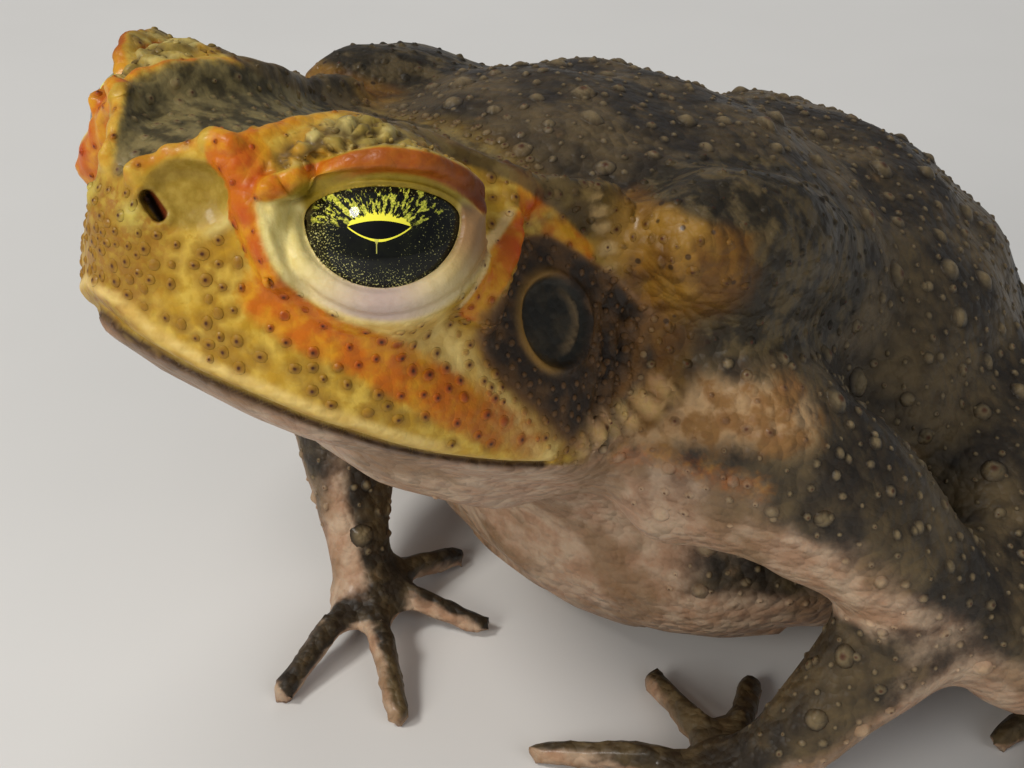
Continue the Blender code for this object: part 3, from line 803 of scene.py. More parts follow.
def markings(places, normals):
    """The masks at some places, by name."""
    head = folded(places)
    x, f, u = head.T
    eye = to_eye(head)
    gap = opening_gap(eye)[0]
    looks_out = round_the_eye(eye)
    roll_gap, along_roll = flat_distance(LID_ROLL, eye)
    pad_gap, along_pad = flat_distance(LOWER_LID, eye)
    below_top = ease(OPENING_MIDDLE[1] + 1.2 - eye[:, 1], -0.8, 0.6)
    labial_gap, along_labial = distance_to(LABIAL, head)
    over_mouth = mouth_height(head)
    ear_gap = ear_distance(head)
    gland_edge_gap = gap_to(GLAND_EDGE, head)
    sway = rumple(places, 5, 4)

    def band(line, full, gone):
        """1 within full of a line and 0 from gone on."""
        return 1 - ease(gap_to(line, head), full, gone)

    jaw = np.where(f > 2, ease(-over_mouth, 0.0, 0.5), ease(-3.8 - u, 0.0, 0.5) * ease(f, -6, -2))
    on_face = ease(f, -4, 2) * (1 - jaw)
    roll = (1 - ease(roll_gap, 0.75, 1.05)) * looks_out
    roll_middle = roll * ease(along_roll, 0.25, 0.45)
    lid_top = lid_top_share(head, eye, roll_gap)
    bare = ease(eye[:, 1], 1.5, 2.6) * (1 - ease(gap, 1.1, 1.8)) * looks_out
    pad = below_top * (1 - ease(pad_gap, 1.3, 2.0)) * ease(gap, -0.3, 0.1) * looks_out * (1 - roll)
    lip = hump(over_mouth - 1.3, 0.7) * ease(f, 8, 16)
    orange = 0.95 * (1 - ease(labial_gap, 1.1, 3.2)) * (1 - 0.4 * ease(along_labial, 0.6, 1.0))
    inner = ease(crown_edge(f) - x, -0.3, 0.6) * ease(u, 9, 12)
    for line, strength, full, gone in ORANGE_CRESTS:
        orange = np.maximum(orange, strength * band(line, full, gone) * (1 - 0.85 * inner))
    fold = 0.35 * band(SHOULDER_FOLD, 0.5, 3.0)
    spots = [0.85 * hump(gap_to_spot(spot, head), RED_SPOT_WIDTH) for spot in RED_SPOTS]
    red = np.max(spots, axis=0)
    dark = ease(at(PATCH_TOP, f) - u, -0.6, 0.8) * ease(u - at(PATCH_FOOT, f), -1.6, 3.6)
    dark *= ease(at(PATCH_FRONT, u) - f, -1.4, 4.4) * ease(f - at(PATCH_REAR, u), -1.2, 2.0) * ease(x, 12, 16)
    crest_edge = hump(gap_to(POSTORBITAL, head) - 1.85, 0.5) * ease(f - at(POSTORBITAL_FRONT, u), 0.0, 0.8)
    crest_edge *= ease(u, 7.5, 9.5) * (1 - ease(u, 15.4, 16.6))
    gland = (1 - ease(gland_distance(places), 0.6, 3.0)) * ease(f, 2, -2)
    gland = np.maximum(gland, hump(gap_to_spot(GLAND_LOBE, head), 5.0))
    gland = np.maximum(gland, 0.85 * band(OCHRE_STRIP, 1.0, 3.0))
    curls = 0.9 * hump(gland_edge_gap - 0.2, 0.8) * (1 + curl_wrinkles(head, sway))
    knobs = band(NECK_KNOBS, 0.2, 3.2) * (1.0 + 0.6 * knob_wrinkles(head, sway))
    nostril = 1 - ease(nostril_distance(head), 0.45, 0.75)
    pit = 1 - ease(pit_reach(head), 0.8, 1.12)
    down = ease(-normals[:, 2], -0.35, 0.45)
    chest = ease(-normals[:, 1], 0.2, 0.8) * ease(np.abs(places[:, 0]), 26, 17) * ease(u, 4, -8)
    under = np.maximum(down, chest) * (1 - on_face)
    bare_skin = (1 - pad) * (1 - bare)
    return {
        "face": on_face,
        "crown": on_face * ease(crown_edge(f) - x, -1.2, 1.6) * ease(u, 9, 12) * (1 - pit),
        "orange": np.maximum(np.maximum(orange * bare_skin, roll), fold),
        "red": np.maximum(red, 0.6 * roll_middle),
        "cream": np.maximum(band(CHEEK, 0.8, 4.0), 0.75 * lip) * (1 - dark),
        "shoulder": 0.8 * band(SHOULDER, 1.0, 6.0) * (1 - dark),
        "crest_edge": crest_edge,
        "curls": curls,
        "knobs": knobs,
        # partly the back's brown, partly painted shade on the top of the head
        "brown_top_and_shade": ease(u - at(BROWN_AND_SHADE_LINE, f), -0.3, 0.9) * on_face,
        "roll_middle": roll_middle,
        "snout": ease(f, 31.0, 33.6) * (1 - ease(u, 9.0, 11.0)),
        "bare": bare,
        "pad": pad,
        "pad_rear": pad * ease(along_pad, 0.62, 0.9),
        "pad_low": pad * hump(along_pad - 0.5, 0.22),
        "lid_top": lid_top,
        # painted shade in the creases between the lid's cobbles
        "crease_shade": lid_top * (1 - cobble_top(eye, lid_top)) ** 2,
        "roll_rear": roll * ease(along_roll, 0.62, 1.0),
        "labial_rear": ease(along_labial, 0.5, 0.95) * (1 - ease(labial_gap, 1.5, 3.0)),
        "dark": dark,
        "drum": 1 - ease(ear_gap, TYMPANUM_RADIUS - 0.5, TYMPANUM_RADIUS - 0.1),
        "drum_ring": hump(ear_gap - TYMPANUM_RADIUS, 0.4) * ease(f, 2, 5),
        "drum_fold": hump(ear_gap - 2.5, 0.3) * ease(TYMPANUM[1] - f, 0.5, 1.8),
        "gland": gland * (1 - dark),
        "gland_rear": np.maximum(ease(-f, 5, 12), ease(u, 18, 20.5)),
        "under": np.maximum(under, jaw),
        # painted shade along the mouth's gap and on the jaw's front edge under the upper lip
        "mouth": hump(over_mouth + 0.2, 0.5),
        # painted shade: the depth of the nostril is coloured near black
        "nostril": nostril,
        "nostril_side": nostril * ease((head - NOSTRIL_MIDDLE) @ NOSTRIL_REAR, 0.1, 0.4),
        "pit": pit,
        "pit_rim": hump(pit_reach(head) - 1.12, 0.16) * ease(x, 6.6, 8.0),
        "knob": hump(gap_to_spot(SNOUT_KNOB, head), 1.0),
    }


def store(obj, masks):
    """Writes masks to a mesh as attributes that its material reads."""
    for name, values in masks.items():
        attribute = obj.data.attributes.new(name, "FLOAT", "POINT")
        attribute.data.foreach_set("value", np.asarray(values, np.float32))


skin_masks = markings(places_of(skin), normals_of(skin))
store(skin, skin_masks)
print("stored", len(skin_masks), "masks on", len(skin.data.vertices), "places")

# %% [markdown]
# ## The skin's material
# A material is a chain of questions: what colour is the back, is this the face, is it a crest, is it wet.
# Each answer is a mix whose factor is one of the masks, roughened by noise so that no border is a clean line.
# Small helpers add a node and return its output, so that a finish reads from top to bottom like a recipe.

# %% Helpers for materials


class Recipe:
    """Adds nodes to a material and wires them by their outputs."""

    def __init__(self, name):
        self.material = bpy.data.materials.new(name)
        self.material.use_nodes = True
        self.tree = self.material.node_tree
        self.shader = self.tree.nodes["Principled BSDF"]
        self.place = self.tree.nodes.new("ShaderNodeTexCoord").outputs["Object"]

    def put(self, socket, value):
        if isinstance(value, bpy.types.NodeSocket):
            self.tree.links.new(value, socket)
        elif isinstance(value, tuple) and len(value) == 3 and socket.type == "RGBA":
            socket.default_value = (*value, 1)
        else:
            socket.default_value = value

    def math(self, operation, first, second=0.0, third=0.0, clamp=False):
        node = self.tree.nodes.new("ShaderNodeMath")
        node.operation = operation
        node.use_clamp = clamp
        for socket, value in zip(node.inputs, (first, second, third)):
            self.put(socket, value)
        return node.outputs[0]

    def plus(self, first, second, clamp=False):
        return self.math("ADD", first, second, clamp=clamp)

    def minus(self, first, second):
        return self.math("SUBTRACT", first, second)

    def times(self, first, second):
        return self.math("MULTIPLY", first, second)

    def line(self, value, slope, start):
        """The value times a slope, plus a start."""
        return self.math("MULTIPLY_ADD", value, slope, start)

    def larger(self, first, second):
        return self.math("MAXIMUM", first, second)

    def length(self, first, second):
        """The length of two steps at a right angle."""
        return self.math("SQRT", self.plus(self.times(first, first), self.times(second, second)))

    def pair(self, first, second):
        """Two numbers as a place on a plane."""
        node = self.tree.nodes.new("ShaderNodeCombineXYZ")
        self.put(node.inputs[0], first)
        self.put(node.inputs[1], second)
        return node.outputs[0]

    def mask(self, name):
        node = self.tree.nodes.new("ShaderNodeAttribute")
        node.attribute_name = name
        return node.outputs["Fac"]

    def cloud(self, size, detail=3.0, where=None, roughness=0.55):
        """Noise whose lumps are this many millimetres across."""
        node = self.tree.nodes.new("ShaderNodeTexNoise")
        self.put(node.inputs["Vector"], where or self.place)
        self.put(node.inputs["Scale"], 1 / (size * MM) if where is None else 1 / size)
        self.put(node.inputs["Detail"], detail)
        self.put(node.inputs["Roughness"], roughness)
        return node.outputs["Fac"]

    def cells(self, size):
        """Distances in a pattern of cells this many millimetres across."""
        node = self.tree.nodes.new("ShaderNodeTexVoronoi")
        self.put(node.inputs["Vector"], self.place)
        self.put(node.inputs["Scale"], 1 / (size * MM))
        return node.outputs["Distance"]

    def between(self, value, low, high):
        """0 below low and 1 above high, eased."""
        node = self.tree.nodes.new("ShaderNodeMapRange")
        node.interpolation_type = "SMOOTHSTEP"
        self.put(node.inputs["Value"], value)
        self.put(node.inputs["From Min"], low)
        self.put(node.inputs["From Max"], high)
        return node.outputs["Result"]

    def mix(self, factor, first, second):
        node = self.tree.nodes.new("ShaderNodeMix")
        node.data_type = "RGBA"
        self.put(node.inputs["Factor"], factor)
        self.put(node.inputs[6], first)
        self.put(node.inputs[7], second)
        return node.outputs[2]

    def blotches(self, grain, low, high, first, second):
        """One colour where the grain is low and another where it is high."""
        return self.mix(self.between(grain, low, high), first, second)

    def paint(self, ground, where, colour, strength=1.0):
        """Lays a colour on the ground; where is a factor or the name of a mask."""
        factor = self.mask(where) if isinstance(where, str) else where
        if strength < 1:
            factor = self.times(factor, strength)
        return self.mix(factor, ground, colour)

    def rough_mask(self, name, grain, low=0.12, high=0.88, bite=0.7):
        """A mask whose border is broken up by a grain of noise."""
        shaken = self.line(self.minus(grain, 0.5), bite, self.mask(name))
        return self.between(shaken, low, high)

    def settle(self, values):
        """Sets the shader's own inputs, each to a plain value or to an output."""
        for name, value in values.items():
            self.put(self.shader.inputs[name], value)

    def bump(self, height, distance, normal=None):
        node = self.tree.nodes.new("ShaderNodeBump")
        self.put(node.inputs["Height"], height)
        node.inputs["Distance"].default_value = distance * MM
        if normal is not None:
            self.put(node.inputs["Normal"], normal)
        return node.outputs["Normal"]


print("material helpers ready")

# %% [markdown]
# The back is dark brown with tan warts. The face runs from olive yellow at the snout through orange crests to
# a nearly black patch round the ear; the lower lid is cream, and throat and belly are a dull pinkish cream.

# %% Colours of the body


def body_colour(mat):
    """A dark brown back with tan warts, and a pinkish cream belly."""
    broad, middle, fine, wart, halo = mat.broad, mat.middle, mat.fine, mat.wart, mat.halo
    back = mat.blotches(broad, 0.42, 0.60, (0.020, 0.014, 0.008), (0.100, 0.068, 0.030))
    back = mat.paint(back, mat.between(middle, 0.45, 0.72), (0.052, 0.036, 0.017))
    back = mat.paint(back, halo, (0.024, 0.016, 0.009), 0.45)
    back = mat.paint(back, wart, mat.mix(fine, (0.12, 0.085, 0.038), (0.21, 0.155, 0.082)), 0.85)
    belly = mat.blotches(middle, 0.35, 0.7, (0.33, 0.19, 0.11), (0.42, 0.30, 0.20))
    belly = mat.paint(belly, mat.between(broad, 0.47, 0.62), (0.18, 0.10, 0.042), 0.7)
    belly = mat.paint(belly, wart, (0.48, 0.34, 0.21), 0.5)
    return mat.mix(mat.rough_mask("under", middle), back, belly)


print("the body's colours are ready")

# %% Colours of the face, the shoulder and the gland


def face_colour(mat, colour):
    """An olive yellow face, a dusky crown, a cream cheek and the smooth pit of the nose."""
    middle, fine, wart, halo = mat.middle, mat.fine, mat.wart, mat.halo
    face = mat.blotches(middle, 0.38, 0.62, (0.40, 0.22, 0.010), (0.53, 0.35, 0.050))
    face = mat.paint(face, mat.between(fine, 0.50, 0.75), (0.40, 0.225, 0.012))
    snout = mat.blotches(fine, 0.4, 0.6, (0.27, 0.115, 0.008), (0.37, 0.23, 0.025))
    face = mat.paint(face, "snout", snout)
    face = mat.paint(face, halo, mat.mix(fine, (0.20, 0.090, 0.005), (0.30, 0.155, 0.008)), 0.8)
    face = mat.paint(face, wart, mat.mix(fine, (0.20, 0.085, 0.006), (0.31, 0.165, 0.012)))
    colour = mat.paint(colour, "face", face)
    crown = mat.blotches(middle, 0.40, 0.60, (0.050, 0.038, 0.014), (0.19, 0.145, 0.055))
    crown = mat.paint(crown, wart, (0.17, 0.12, 0.05), 0.8)
    colour = mat.paint(colour, mat.rough_mask("crown", fine), crown)
    cream = mat.blotches(middle, 0.35, 0.7, (0.70, 0.52, 0.18), (0.54, 0.34, 0.075))
    cream = mat.paint(cream, halo, (0.34, 0.19, 0.035), 0.5)
    cream = mat.paint(cream, wart, (0.26, 0.12, 0.02), 0.7)
    colour = mat.paint(colour, mat.rough_mask("cream", middle), cream)
    nose_pit = mat.blotches(fine, 0.3, 0.8, (0.23, 0.145, 0.012), (0.33, 0.225, 0.035))
    colour = mat.paint(colour, "pit", nose_pit, 0.9)
    colour = mat.paint(colour, "pit_rim", (0.54, 0.43, 0.14), 0.9)
    return mat.paint(colour, "knob", mat.mix(fine, (0.42, 0.33, 0.04), (0.58, 0.50, 0.12)), 0.8)


def gland_colour(mat, colour):
    """The pale shoulder and the ochre gland with its dark pores."""
    broad, middle, wart, halo = mat.broad, mat.middle, mat.wart, mat.halo
    shoulder = mat.blotches(middle, 0.40, 0.58, (0.40, 0.25, 0.12), (0.20, 0.10, 0.03))
    shoulder = mat.paint(shoulder, halo, (0.20, 0.09, 0.03), 0.5)
    shoulder = mat.paint(shoulder, wart, (0.12, 0.06, 0.03), 0.6)
    colour = mat.paint(colour, mat.rough_mask("shoulder", middle, bite=1.3), shoulder)

    gland = mat.blotches(middle, 0.35, 0.70, (0.085, 0.034, 0.004), (0.19, 0.085, 0.010))
    gland = mat.paint(gland, mat.between(broad, 0.46, 0.62), (0.24, 0.125, 0.016))
    gland = mat.paint(gland, wart, (0.12, 0.060, 0.012), 0.6)
    rear = mat.blotches(middle, 0.45, 0.62, (0.020, 0.014, 0.006), (0.080, 0.055, 0.022))
    gland = mat.paint(gland, mat.rough_mask("gland_rear", middle, low=0.1, high=0.9, bite=0.9), rear)
    pores = mat.minus(1.0, mat.between(mat.cells(1.9), 0.10, 0.18))
    gland = mat.paint(gland, pores, (0.020, 0.009, 0.003), 0.8)
    return mat.paint(colour, mat.rough_mask("gland", middle), gland)


print("the colours of face, shoulder and gland are ready")

# %% Colours of the crests and the ear


def crest_colour(mat, colour):
    """Orange on the crests and over the lip, with redder spots."""
    middle, fine, wart, halo = mat.middle, mat.fine, mat.wart, mat.halo
    ridge = mat.blotches(middle, 0.38, 0.62, (0.46, 0.115, 0.002), (0.55, 0.25, 0.008))
    ridge = mat.paint(ridge, "labial_rear", (0.26, 0.085, 0.004), 0.8)
    ridge = mat.paint(ridge, halo, (0.36, 0.080, 0.002), 0.6)
    ridge = mat.paint(ridge, wart, (0.24, 0.035, 0.002), 0.8)
    colour = mat.paint(colour, mat.rough_mask("orange", fine, bite=0.5), ridge)
    colour = mat.paint(colour, mat.rough_mask("red", fine, low=0.1, high=1.1, bite=0.5), (0.40, 0.040, 0.001))
    return mat.paint(colour, mat.rough_mask("crest_edge", fine, bite=0.4), (0.62, 0.42, 0.17))


def ear_colour(mat, colour):
    """The nearly black patch round the ear, the drum, and the curled folds behind it."""
    middle, fine, wart = mat.middle, mat.fine, mat.wart
    patch = mat.blotches(middle, 0.38, 0.66, (0.012, 0.008, 0.005), (0.075, 0.036, 0.011))
    patch = mat.paint(patch, wart, (0.095, 0.046, 0.015), 0.8)
    # the darkened top of the face: partly the brown of the back, partly painted shade
    brown_top_and_shade = mat.blotches(middle, 0.40, 0.62, (0.030, 0.020, 0.008), (0.100, 0.066, 0.026))
    colour = mat.paint(colour, mat.rough_mask("brown_top_and_shade", fine, low=0.1, high=0.9, bite=0.6), brown_top_and_shade, 0.85)
    # the dark patch round the ear; where its foot reaches the jaw's corner it is painted shadow
    brown = mat.rough_mask("dark", middle, low=0.10, high=0.80, bite=0.5)
    colour = mat.paint(colour, brown, (0.17, 0.075, 0.016))
    colour = mat.paint(colour, mat.rough_mask("dark", middle, low=0.40, high=1.0, bite=0.6), patch)
    drum = mat.blotches(middle, 0.4, 0.7, (0.010, 0.009, 0.006), (0.034, 0.026, 0.014))
    colour = mat.paint(colour, "drum", drum)
    colour = mat.paint(colour, "drum_fold", (0.13, 0.085, 0.038), 0.8)
    colour = mat.paint(colour, "drum_ring", (0.22, 0.115, 0.020), 0.85)
    colour = mat.paint(colour, mat.rough_mask("curls", fine, bite=0.9), (0.34, 0.22, 0.080))
    knob = mat.blotches(middle, 0.35, 0.65, (0.50, 0.33, 0.11), (0.42, 0.24, 0.13))
    return mat.paint(colour, mat.rough_mask("knobs", middle, high=1.1, bite=0.9), knob, 0.8)


print("the colours of crests and ear are ready")

# %% Colours of the lids, the mouth and the nostrils


def lid_colour(mat, colour):
    """The cobbled lid with painted shade in its creases, the bare band and the swollen cream pad."""
    broad, middle, fine, wart = mat.broad, mat.middle, mat.fine, mat.wart
    lid_top = mat.blotches(middle, 0.42, 0.58, (0.30, 0.21, 0.040), (0.46, 0.36, 0.115))
    lid_top = mat.paint(lid_top, mat.between(broad, 0.50, 0.58), (0.40, 0.21, 0.018))
    lid_top = mat.paint(lid_top, wart, mat.mix(fine, (0.26, 0.18, 0.045), (0.42, 0.31, 0.09)), 0.6)
    # painted shade: the creases between the cobbles are darkened
    lid_top = mat.paint(lid_top, "crease_shade", (0.075, 0.040, 0.007), 0.9)
    colour = mat.paint(colour, "lid_top", lid_top)
    colour = mat.paint(colour, "bare", mat.mix(fine, (0.17, 0.105, 0.005), (0.34, 0.235, 0.022)))
    pad = mat.blotches(fine, 0.3, 0.8, (0.76, 0.63, 0.24), (0.66, 0.52, 0.15))
    pad = mat.paint(pad, "pad_low", mat.mix(fine, (0.50, 0.38, 0.33), (0.40, 0.29, 0.23)))
    pad = mat.paint(pad, "pad_rear", (0.26, 0.145, 0.060))
    return mat.paint(colour, "pad", pad)


def opening_colour(mat, colour):
    """The mouth line and the nostril in painted shade, the orange roll over the eye and the tips of warts."""
    fine = mat.fine
    # painted shade in the mouth's gap and under the upper lip
    colour = mat.paint(colour, "mouth", (0.040, 0.016, 0.006))
    colour = mat.paint(colour, "roll_middle", mat.mix(fine, (0.22, 0.035, 0.002), (0.36, 0.110, 0.006)))
    colour = mat.paint(colour, "roll_rear", (0.12, 0.026, 0.003))
    # painted shade inside the nostril
    colour = mat.paint(colour, "nostril", (0.012, 0.004, 0.002))
    colour = mat.paint(colour, "nostril_side", (0.15, 0.024, 0.006), 0.9)
    return mat.paint(colour, "tip", (0.055, 0.013, 0.003))


print("the colours of lids, mouth and nostrils are ready")

# %% The skin's relief, and its whole finish


def skin_relief(mat):
    """Fine granules everywhere but on the smooth parts, and pebbles off the face."""
    grain = mat.cells(0.9)
    smooth_parts = mat.larger(mat.mask("pad"), mat.mask("bare"))
    smooth_parts = mat.larger(smooth_parts, mat.times(mat.mask("pit"), 0.8))
    smooth_parts = mat.larger(smooth_parts, mat.times(mat.mask("face"), 0.45))
    rough_parts = mat.minus(1.0, mat.times(smooth_parts, 0.85))
    granules = mat.times(mat.minus(1.0, grain), rough_parts)
    off_face = mat.minus(1.0, mat.mask("face"))
    pebbles = mat.times(mat.minus(1.0, mat.cells(1.7)), off_face)
    normal = mat.bump(pebbles, 0.5)
    normal = mat.bump(granules, 0.20, normal)
    return mat.bump(mat.fine, 0.08, normal)


def skin_finish():
    mat = Recipe("toad skin")
    mat.broad = mat.cloud(9.0)
    mat.middle = mat.cloud(2.6, detail=4)
    mat.fine = mat.cloud(0.7, detail=4)
    mat.wart = mat.mask("wart")
    mat.halo = mat.mask("halo")
    colour = body_colour(mat)
    for region in (face_colour, gland_colour, crest_colour, ear_colour, lid_colour, opening_colour):
        colour = region(mat, colour)
    wet = mat.plus(mat.mask("pad"), mat.times(mat.mask("orange"), 0.4), clamp=True)
    mat.settle({
        "Base Color": colour,
        "Roughness": mat.line(wet, -0.18, mat.line(mat.fine, 0.24, 0.42)),
        "Normal": skin_relief(mat),
        "Specular IOR Level": 0.35,
        "Coat Weight": 0.10,
        "Coat Roughness": 0.16,
        "Subsurface Weight": 0.08,
        "Subsurface Radius": (0.9, 0.4, 0.2),
        "Subsurface Scale": 0.8 * MM,
    })
    return mat.material


SKIN_FINISH = skin_finish()
skin.data.materials.clear()
skin.data.materials.append(SKIN_FINISH)
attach(skin, "root")
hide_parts(*FLESH)
print("the skin's finish has", len(SKIN_FINISH.node_tree.nodes), "nodes")

# %% [markdown]
# ## The warts
# Warts stand on the skin, so they are separate little domes, hundreds in a piece. First the roots are
# scattered: random places on the skin's faces, kept only where no other root is nearer than the spacing.
# Each wart is then a few rings of places laid on the skin and raised along its normal, closed underneath.
# Modelling them as meshes and not as bump gives them a real outline against the light.

# %% Scatter roots over the skin
skin.data.calc_loop_triangles()
TRIANGLES = read(skin.data.loop_triangles, "vertices", 3, np.int32)
SKIN_PLACES = places_of(skin)
SKIN_NORMALS = normals_of(skin)
CORNERS = SKIN_PLACES[TRIANGLES]
AREAS = np.linalg.norm(np.cross(CORNERS[:, 1] - CORNERS[:, 0], CORNERS[:, 2] - CORNERS[:, 0]), axis=1) / 2
TREE = BVHTree.FromPolygons(SKIN_PLACES.tolist(), TRIANGLES.tolist())


def triangle_masks(*names):
    return [skin_masks[name][TRIANGLES].mean(axis=1) for name in names]


def scatter(weight, spacing, seed):
    """Roots and their normals, at least their spacing apart; weight and spacing are given per triangle."""
    draw = np.random.default_rng(seed)
    spacing = np.broadcast_to(spacing, len(TRIANGLES))
    chance = AREAS * weight / spacing**2
    tries = int(chance.sum() * 5)
    picked = draw.choice(len(TRIANGLES), tries, p=chance / chance.sum())
    one, two = draw.random((2, tries))
    over = one + two > 1
    one[over], two[over] = 1 - one[over], 1 - two[over]
    shares = np.stack((1 - one - two, one, two), axis=1)
    roots = np.einsum("ij,ijk->ik", shares, CORNERS[picked])
    normals = np.einsum("ij,ijk->ik", shares, SKIN_NORMALS[TRIANGLES[picked]])
    cell = float(spacing[picked].max())
    taken = {}
    kept = []
    for index, root in enumerate(roots):
        key = tuple(np.floor(root / cell).astype(int))
        apart = spacing[picked[index]] ** 2
        around = [
            other
            for dx in (-1, 0, 1)
            for dy in (-1, 0, 1)
            for dz in (-1, 0, 1)
            for other in taken.get((key[0] + dx, key[1] + dy, key[2] + dz), ())
        ]
        if all((roots[other] - root) @ (roots[other] - root) > apart for other in around):
            taken.setdefault(key, []).append(index)
            kept.append(index)
    normals = normals[kept] / np.linalg.norm(normals[kept], axis=1)[:, None]
    return roots[kept], normals, draw


print("the skin's area is", round(float(AREAS.sum()) / 100), "square centimetres")

# %% [markdown]
# The warts are also laid on a flat map of the skin. A coarse copy of the skin is
# unwrapped, and each wart gets a small square of the map at the place of its root.

# %% A flat map of the skin's shape
MAP_PATCH = 0.0015
chart = add("chart", skin.data.copy())
finish_modifier(chart, "DECIMATE", ratio=0.04)
edit_whole(chart, bpy.ops.uv.smart_project, angle_limit=math.radians(66), island_margin=0.004)
chart.data.calc_loop_triangles()
chart_places = places_of(chart)
chart_corners = read(chart.data.loop_triangles, "vertices", 3, np.int32)
chart_loops = read(chart.data.loop_triangles, "loops", 3, np.int32)
chart_map = read(chart.data.uv_layers.active.data, "uv", 2)
chart_tree = BVHTree.FromPolygons(chart_places.tolist(), chart_corners.tolist())
bpy.data.objects.remove(chart, do_unlink=True)


def map_place(root):
    """Where a root lies on the flat map."""
    near, _, face, _ = chart_tree.find_nearest(root)
    corners = chart_places[chart_corners[face]]
    spokes = corners - near
    areas = np.array([np.linalg.norm(np.cross(spokes[i - 2], spokes[i - 1])) for i in range(3)])
    shares = areas / max(areas.sum(), 1e-9)
    return shares @ chart_map[chart_loops[face]]


print("the flat map has", len(chart_corners), "triangles")

# %% Grow warts on the roots
ROUND_WART = ((1.0, -0.10, 0.0), (0.84, 0.22, 0.0), (0.60, 0.62, 0.0), (0.32, 0.90, 0.0))
HORNY_WART = ((1.0, -0.10, 0.0), (0.84, 0.14, 0.0), (0.62, 0.46, 0.0), (0.38, 0.80, 0.0), (0.18, 0.97, 0.7))
FACE_WART = ((1.0, -0.10, 0.0), (0.80, 0.28, 0.0), (0.56, 0.66, 0.0), (0.34, 0.92, 0.3), (0.15, 1.02, 1.0))
FLAT_WART = ((1.0, -0.10, 0.0), (0.88, 0.45, 0.0), (0.64, 0.86, 0.0), (0.32, 1.0, 0.0))
WART_ROOTS = []


def grow_warts(name, slot, roots, normals, radii, heights, profile, draw, sides=10, peak=1.03, tipped=0.0):
    """Joins one wart on each root into a piece. A profile's rings have a radius, a height and the tip's
    darkness, and tipped is the share of the warts whose tips are dark."""
    WART_ROOTS.append((roots, radii))
    count = len(roots)
    rings = len(profile)
    each = rings * sides + 2
    helper = np.where(np.abs(normals[:, 2:3]) < 0.8, (0.0, 0.0, 1.0), (1.0, 0.0, 0.0))
    across = np.cross(helper, normals)
    across /= np.linalg.norm(across, axis=1)[:, None]
    along = np.cross(normals, across)
    turn = draw.random(count) * 2 * math.pi
    stretch = 1 + 0.22 * (draw.random(count) - 0.5)
    angles = turn[:, None] + np.arange(sides) * 2 * math.pi / sides
    ripple = 1 + 0.12 * (draw.random((count, sides)) - 0.5)
    horny = draw.random(count) < tipped
    places = np.empty((count, each, 3))
    tips = np.zeros((count, each))
    rise = np.zeros((count, each))
    flat = np.zeros((count, each, 2))
    for ring, (share, lift, dark) in enumerate(profile):
        reach = radii[:, None] * share * ripple
        u = reach * np.cos(angles) * stretch[:, None]
        v = reach * np.sin(angles) / stretch[:, None]
        span = slice(ring * sides, (ring + 1) * sides)
        places[:, span] = roots[:, None] + u[:, :, None] * across[:, None] + v[:, :, None] * along[:, None]
        tips[:, span] = dark * horny[:, None]
        rise[:, span] = lift
        flat[:, span, 0] = u / radii[:, None]
        flat[:, span, 1] = v / radii[:, None]
    places[:, -2:] = roots[:, None]
    tips[:, -2] = horny
    rise[:, -2] = peak
    rise[:, -1] = -0.5
    laid = np.array([TREE.find_nearest(place)[0] for place in places.reshape(-1, 3)]).reshape(places.shape)
    places = laid + normals[:, None] * (rise * heights[:, None])[:, :, None]
    faces = []
    for ring in range(rings - 1):
        for side in range(sides):
            ahead = (side + 1) % sides
            low, high = ring * sides, (ring + 1) * sides
            faces.append((low + side, low + ahead, high + ahead, high + side))
    top = (rings - 1) * sides
    caps = [(top + side, top + (side + 1) % sides, each - 2) for side in range(sides)]
    caps += [((side + 1) % sides, side, each - 1) for side in range(sides)]
    shift = np.arange(count)[:, None, None] * each
    quads = (shift + np.array(faces)).reshape(-1, 4)
    ends = (shift + np.array(caps)).reshape(-1, 3)
    low, high = (np.array(corner) / MM for corner in CAD_BOX)
    spread = np.clip(places.reshape(-1, 3), low, high)
    mesh = bpy.data.meshes.new(name)
    mesh.from_pydata((spread * MM).tolist(), [], quads.tolist() + ends.tolist())
    piece = add(name, mesh)
    masks = markings(laid.reshape(-1, 3), np.repeat(normals, each, axis=0))
    own = {"wart": ease(rise, 0.1, 0.8).ravel(), "tip": tips.ravel(), "halo": np.ones(rise.size)}
    store(piece, masks | own)
    centres = np.array([map_place(root) for root in roots])
    mapped = (centres[:, None] + flat * MAP_PATCH).reshape(-1, 2)
    layer = mesh.uv_layers.new(name="OFBake")
    loops = read(mesh.loops, "vertex_index", 1, np.int32).ravel()
    layer.data.foreach_set("uv", mapped[loops].astype(np.float32).ravel())
    choose(piece)
    bpy.ops.object.shade_smooth()
    mesh.materials.append(SKIN_FINISH)
    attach(piece, "root")
    print(name, "has", count, "warts and", len(quads) * 2 + len(ends), "triangles")


# %% [markdown]
# The head has four kinds: dark-tipped tubercles on snout, lips and crests, pale cobbles on the eyelid, a fine
# dark grain round the ear, and horny warts on the crown between the crests. The tubercles keep clear of the
# smooth pit of the nose and of the lids.

# %% Warts of the head
NOWHERE = 1e-12


def plant(
    name, slot, weight, spacing, seed, size, height, profile,
    power=1, in_proportion=False, crests=(1.0, 1.0), **shape,
):
    """Grows a wart on each root. Size and height are a least value and what chance adds to it, and crests
    is the share of both that is left on the crests."""
    roots, normals, draw = scatter(weight, spacing, seed)
    sizes = size[0] + size[1] * draw.random(len(roots)) ** power
    heights = height[0] + height[1] * draw.random(len(roots))
    if in_proportion:
        heights = sizes * heights
    on_crest = crest_distance(folded(roots)) < 1.7
    sizes = sizes * np.where(on_crest, crests[0], 1.0)
    heights = heights * np.where(on_crest, crests[1], 1.0)
    grow_warts(name, slot, roots, normals, sizes, heights, profile, draw, **shape)


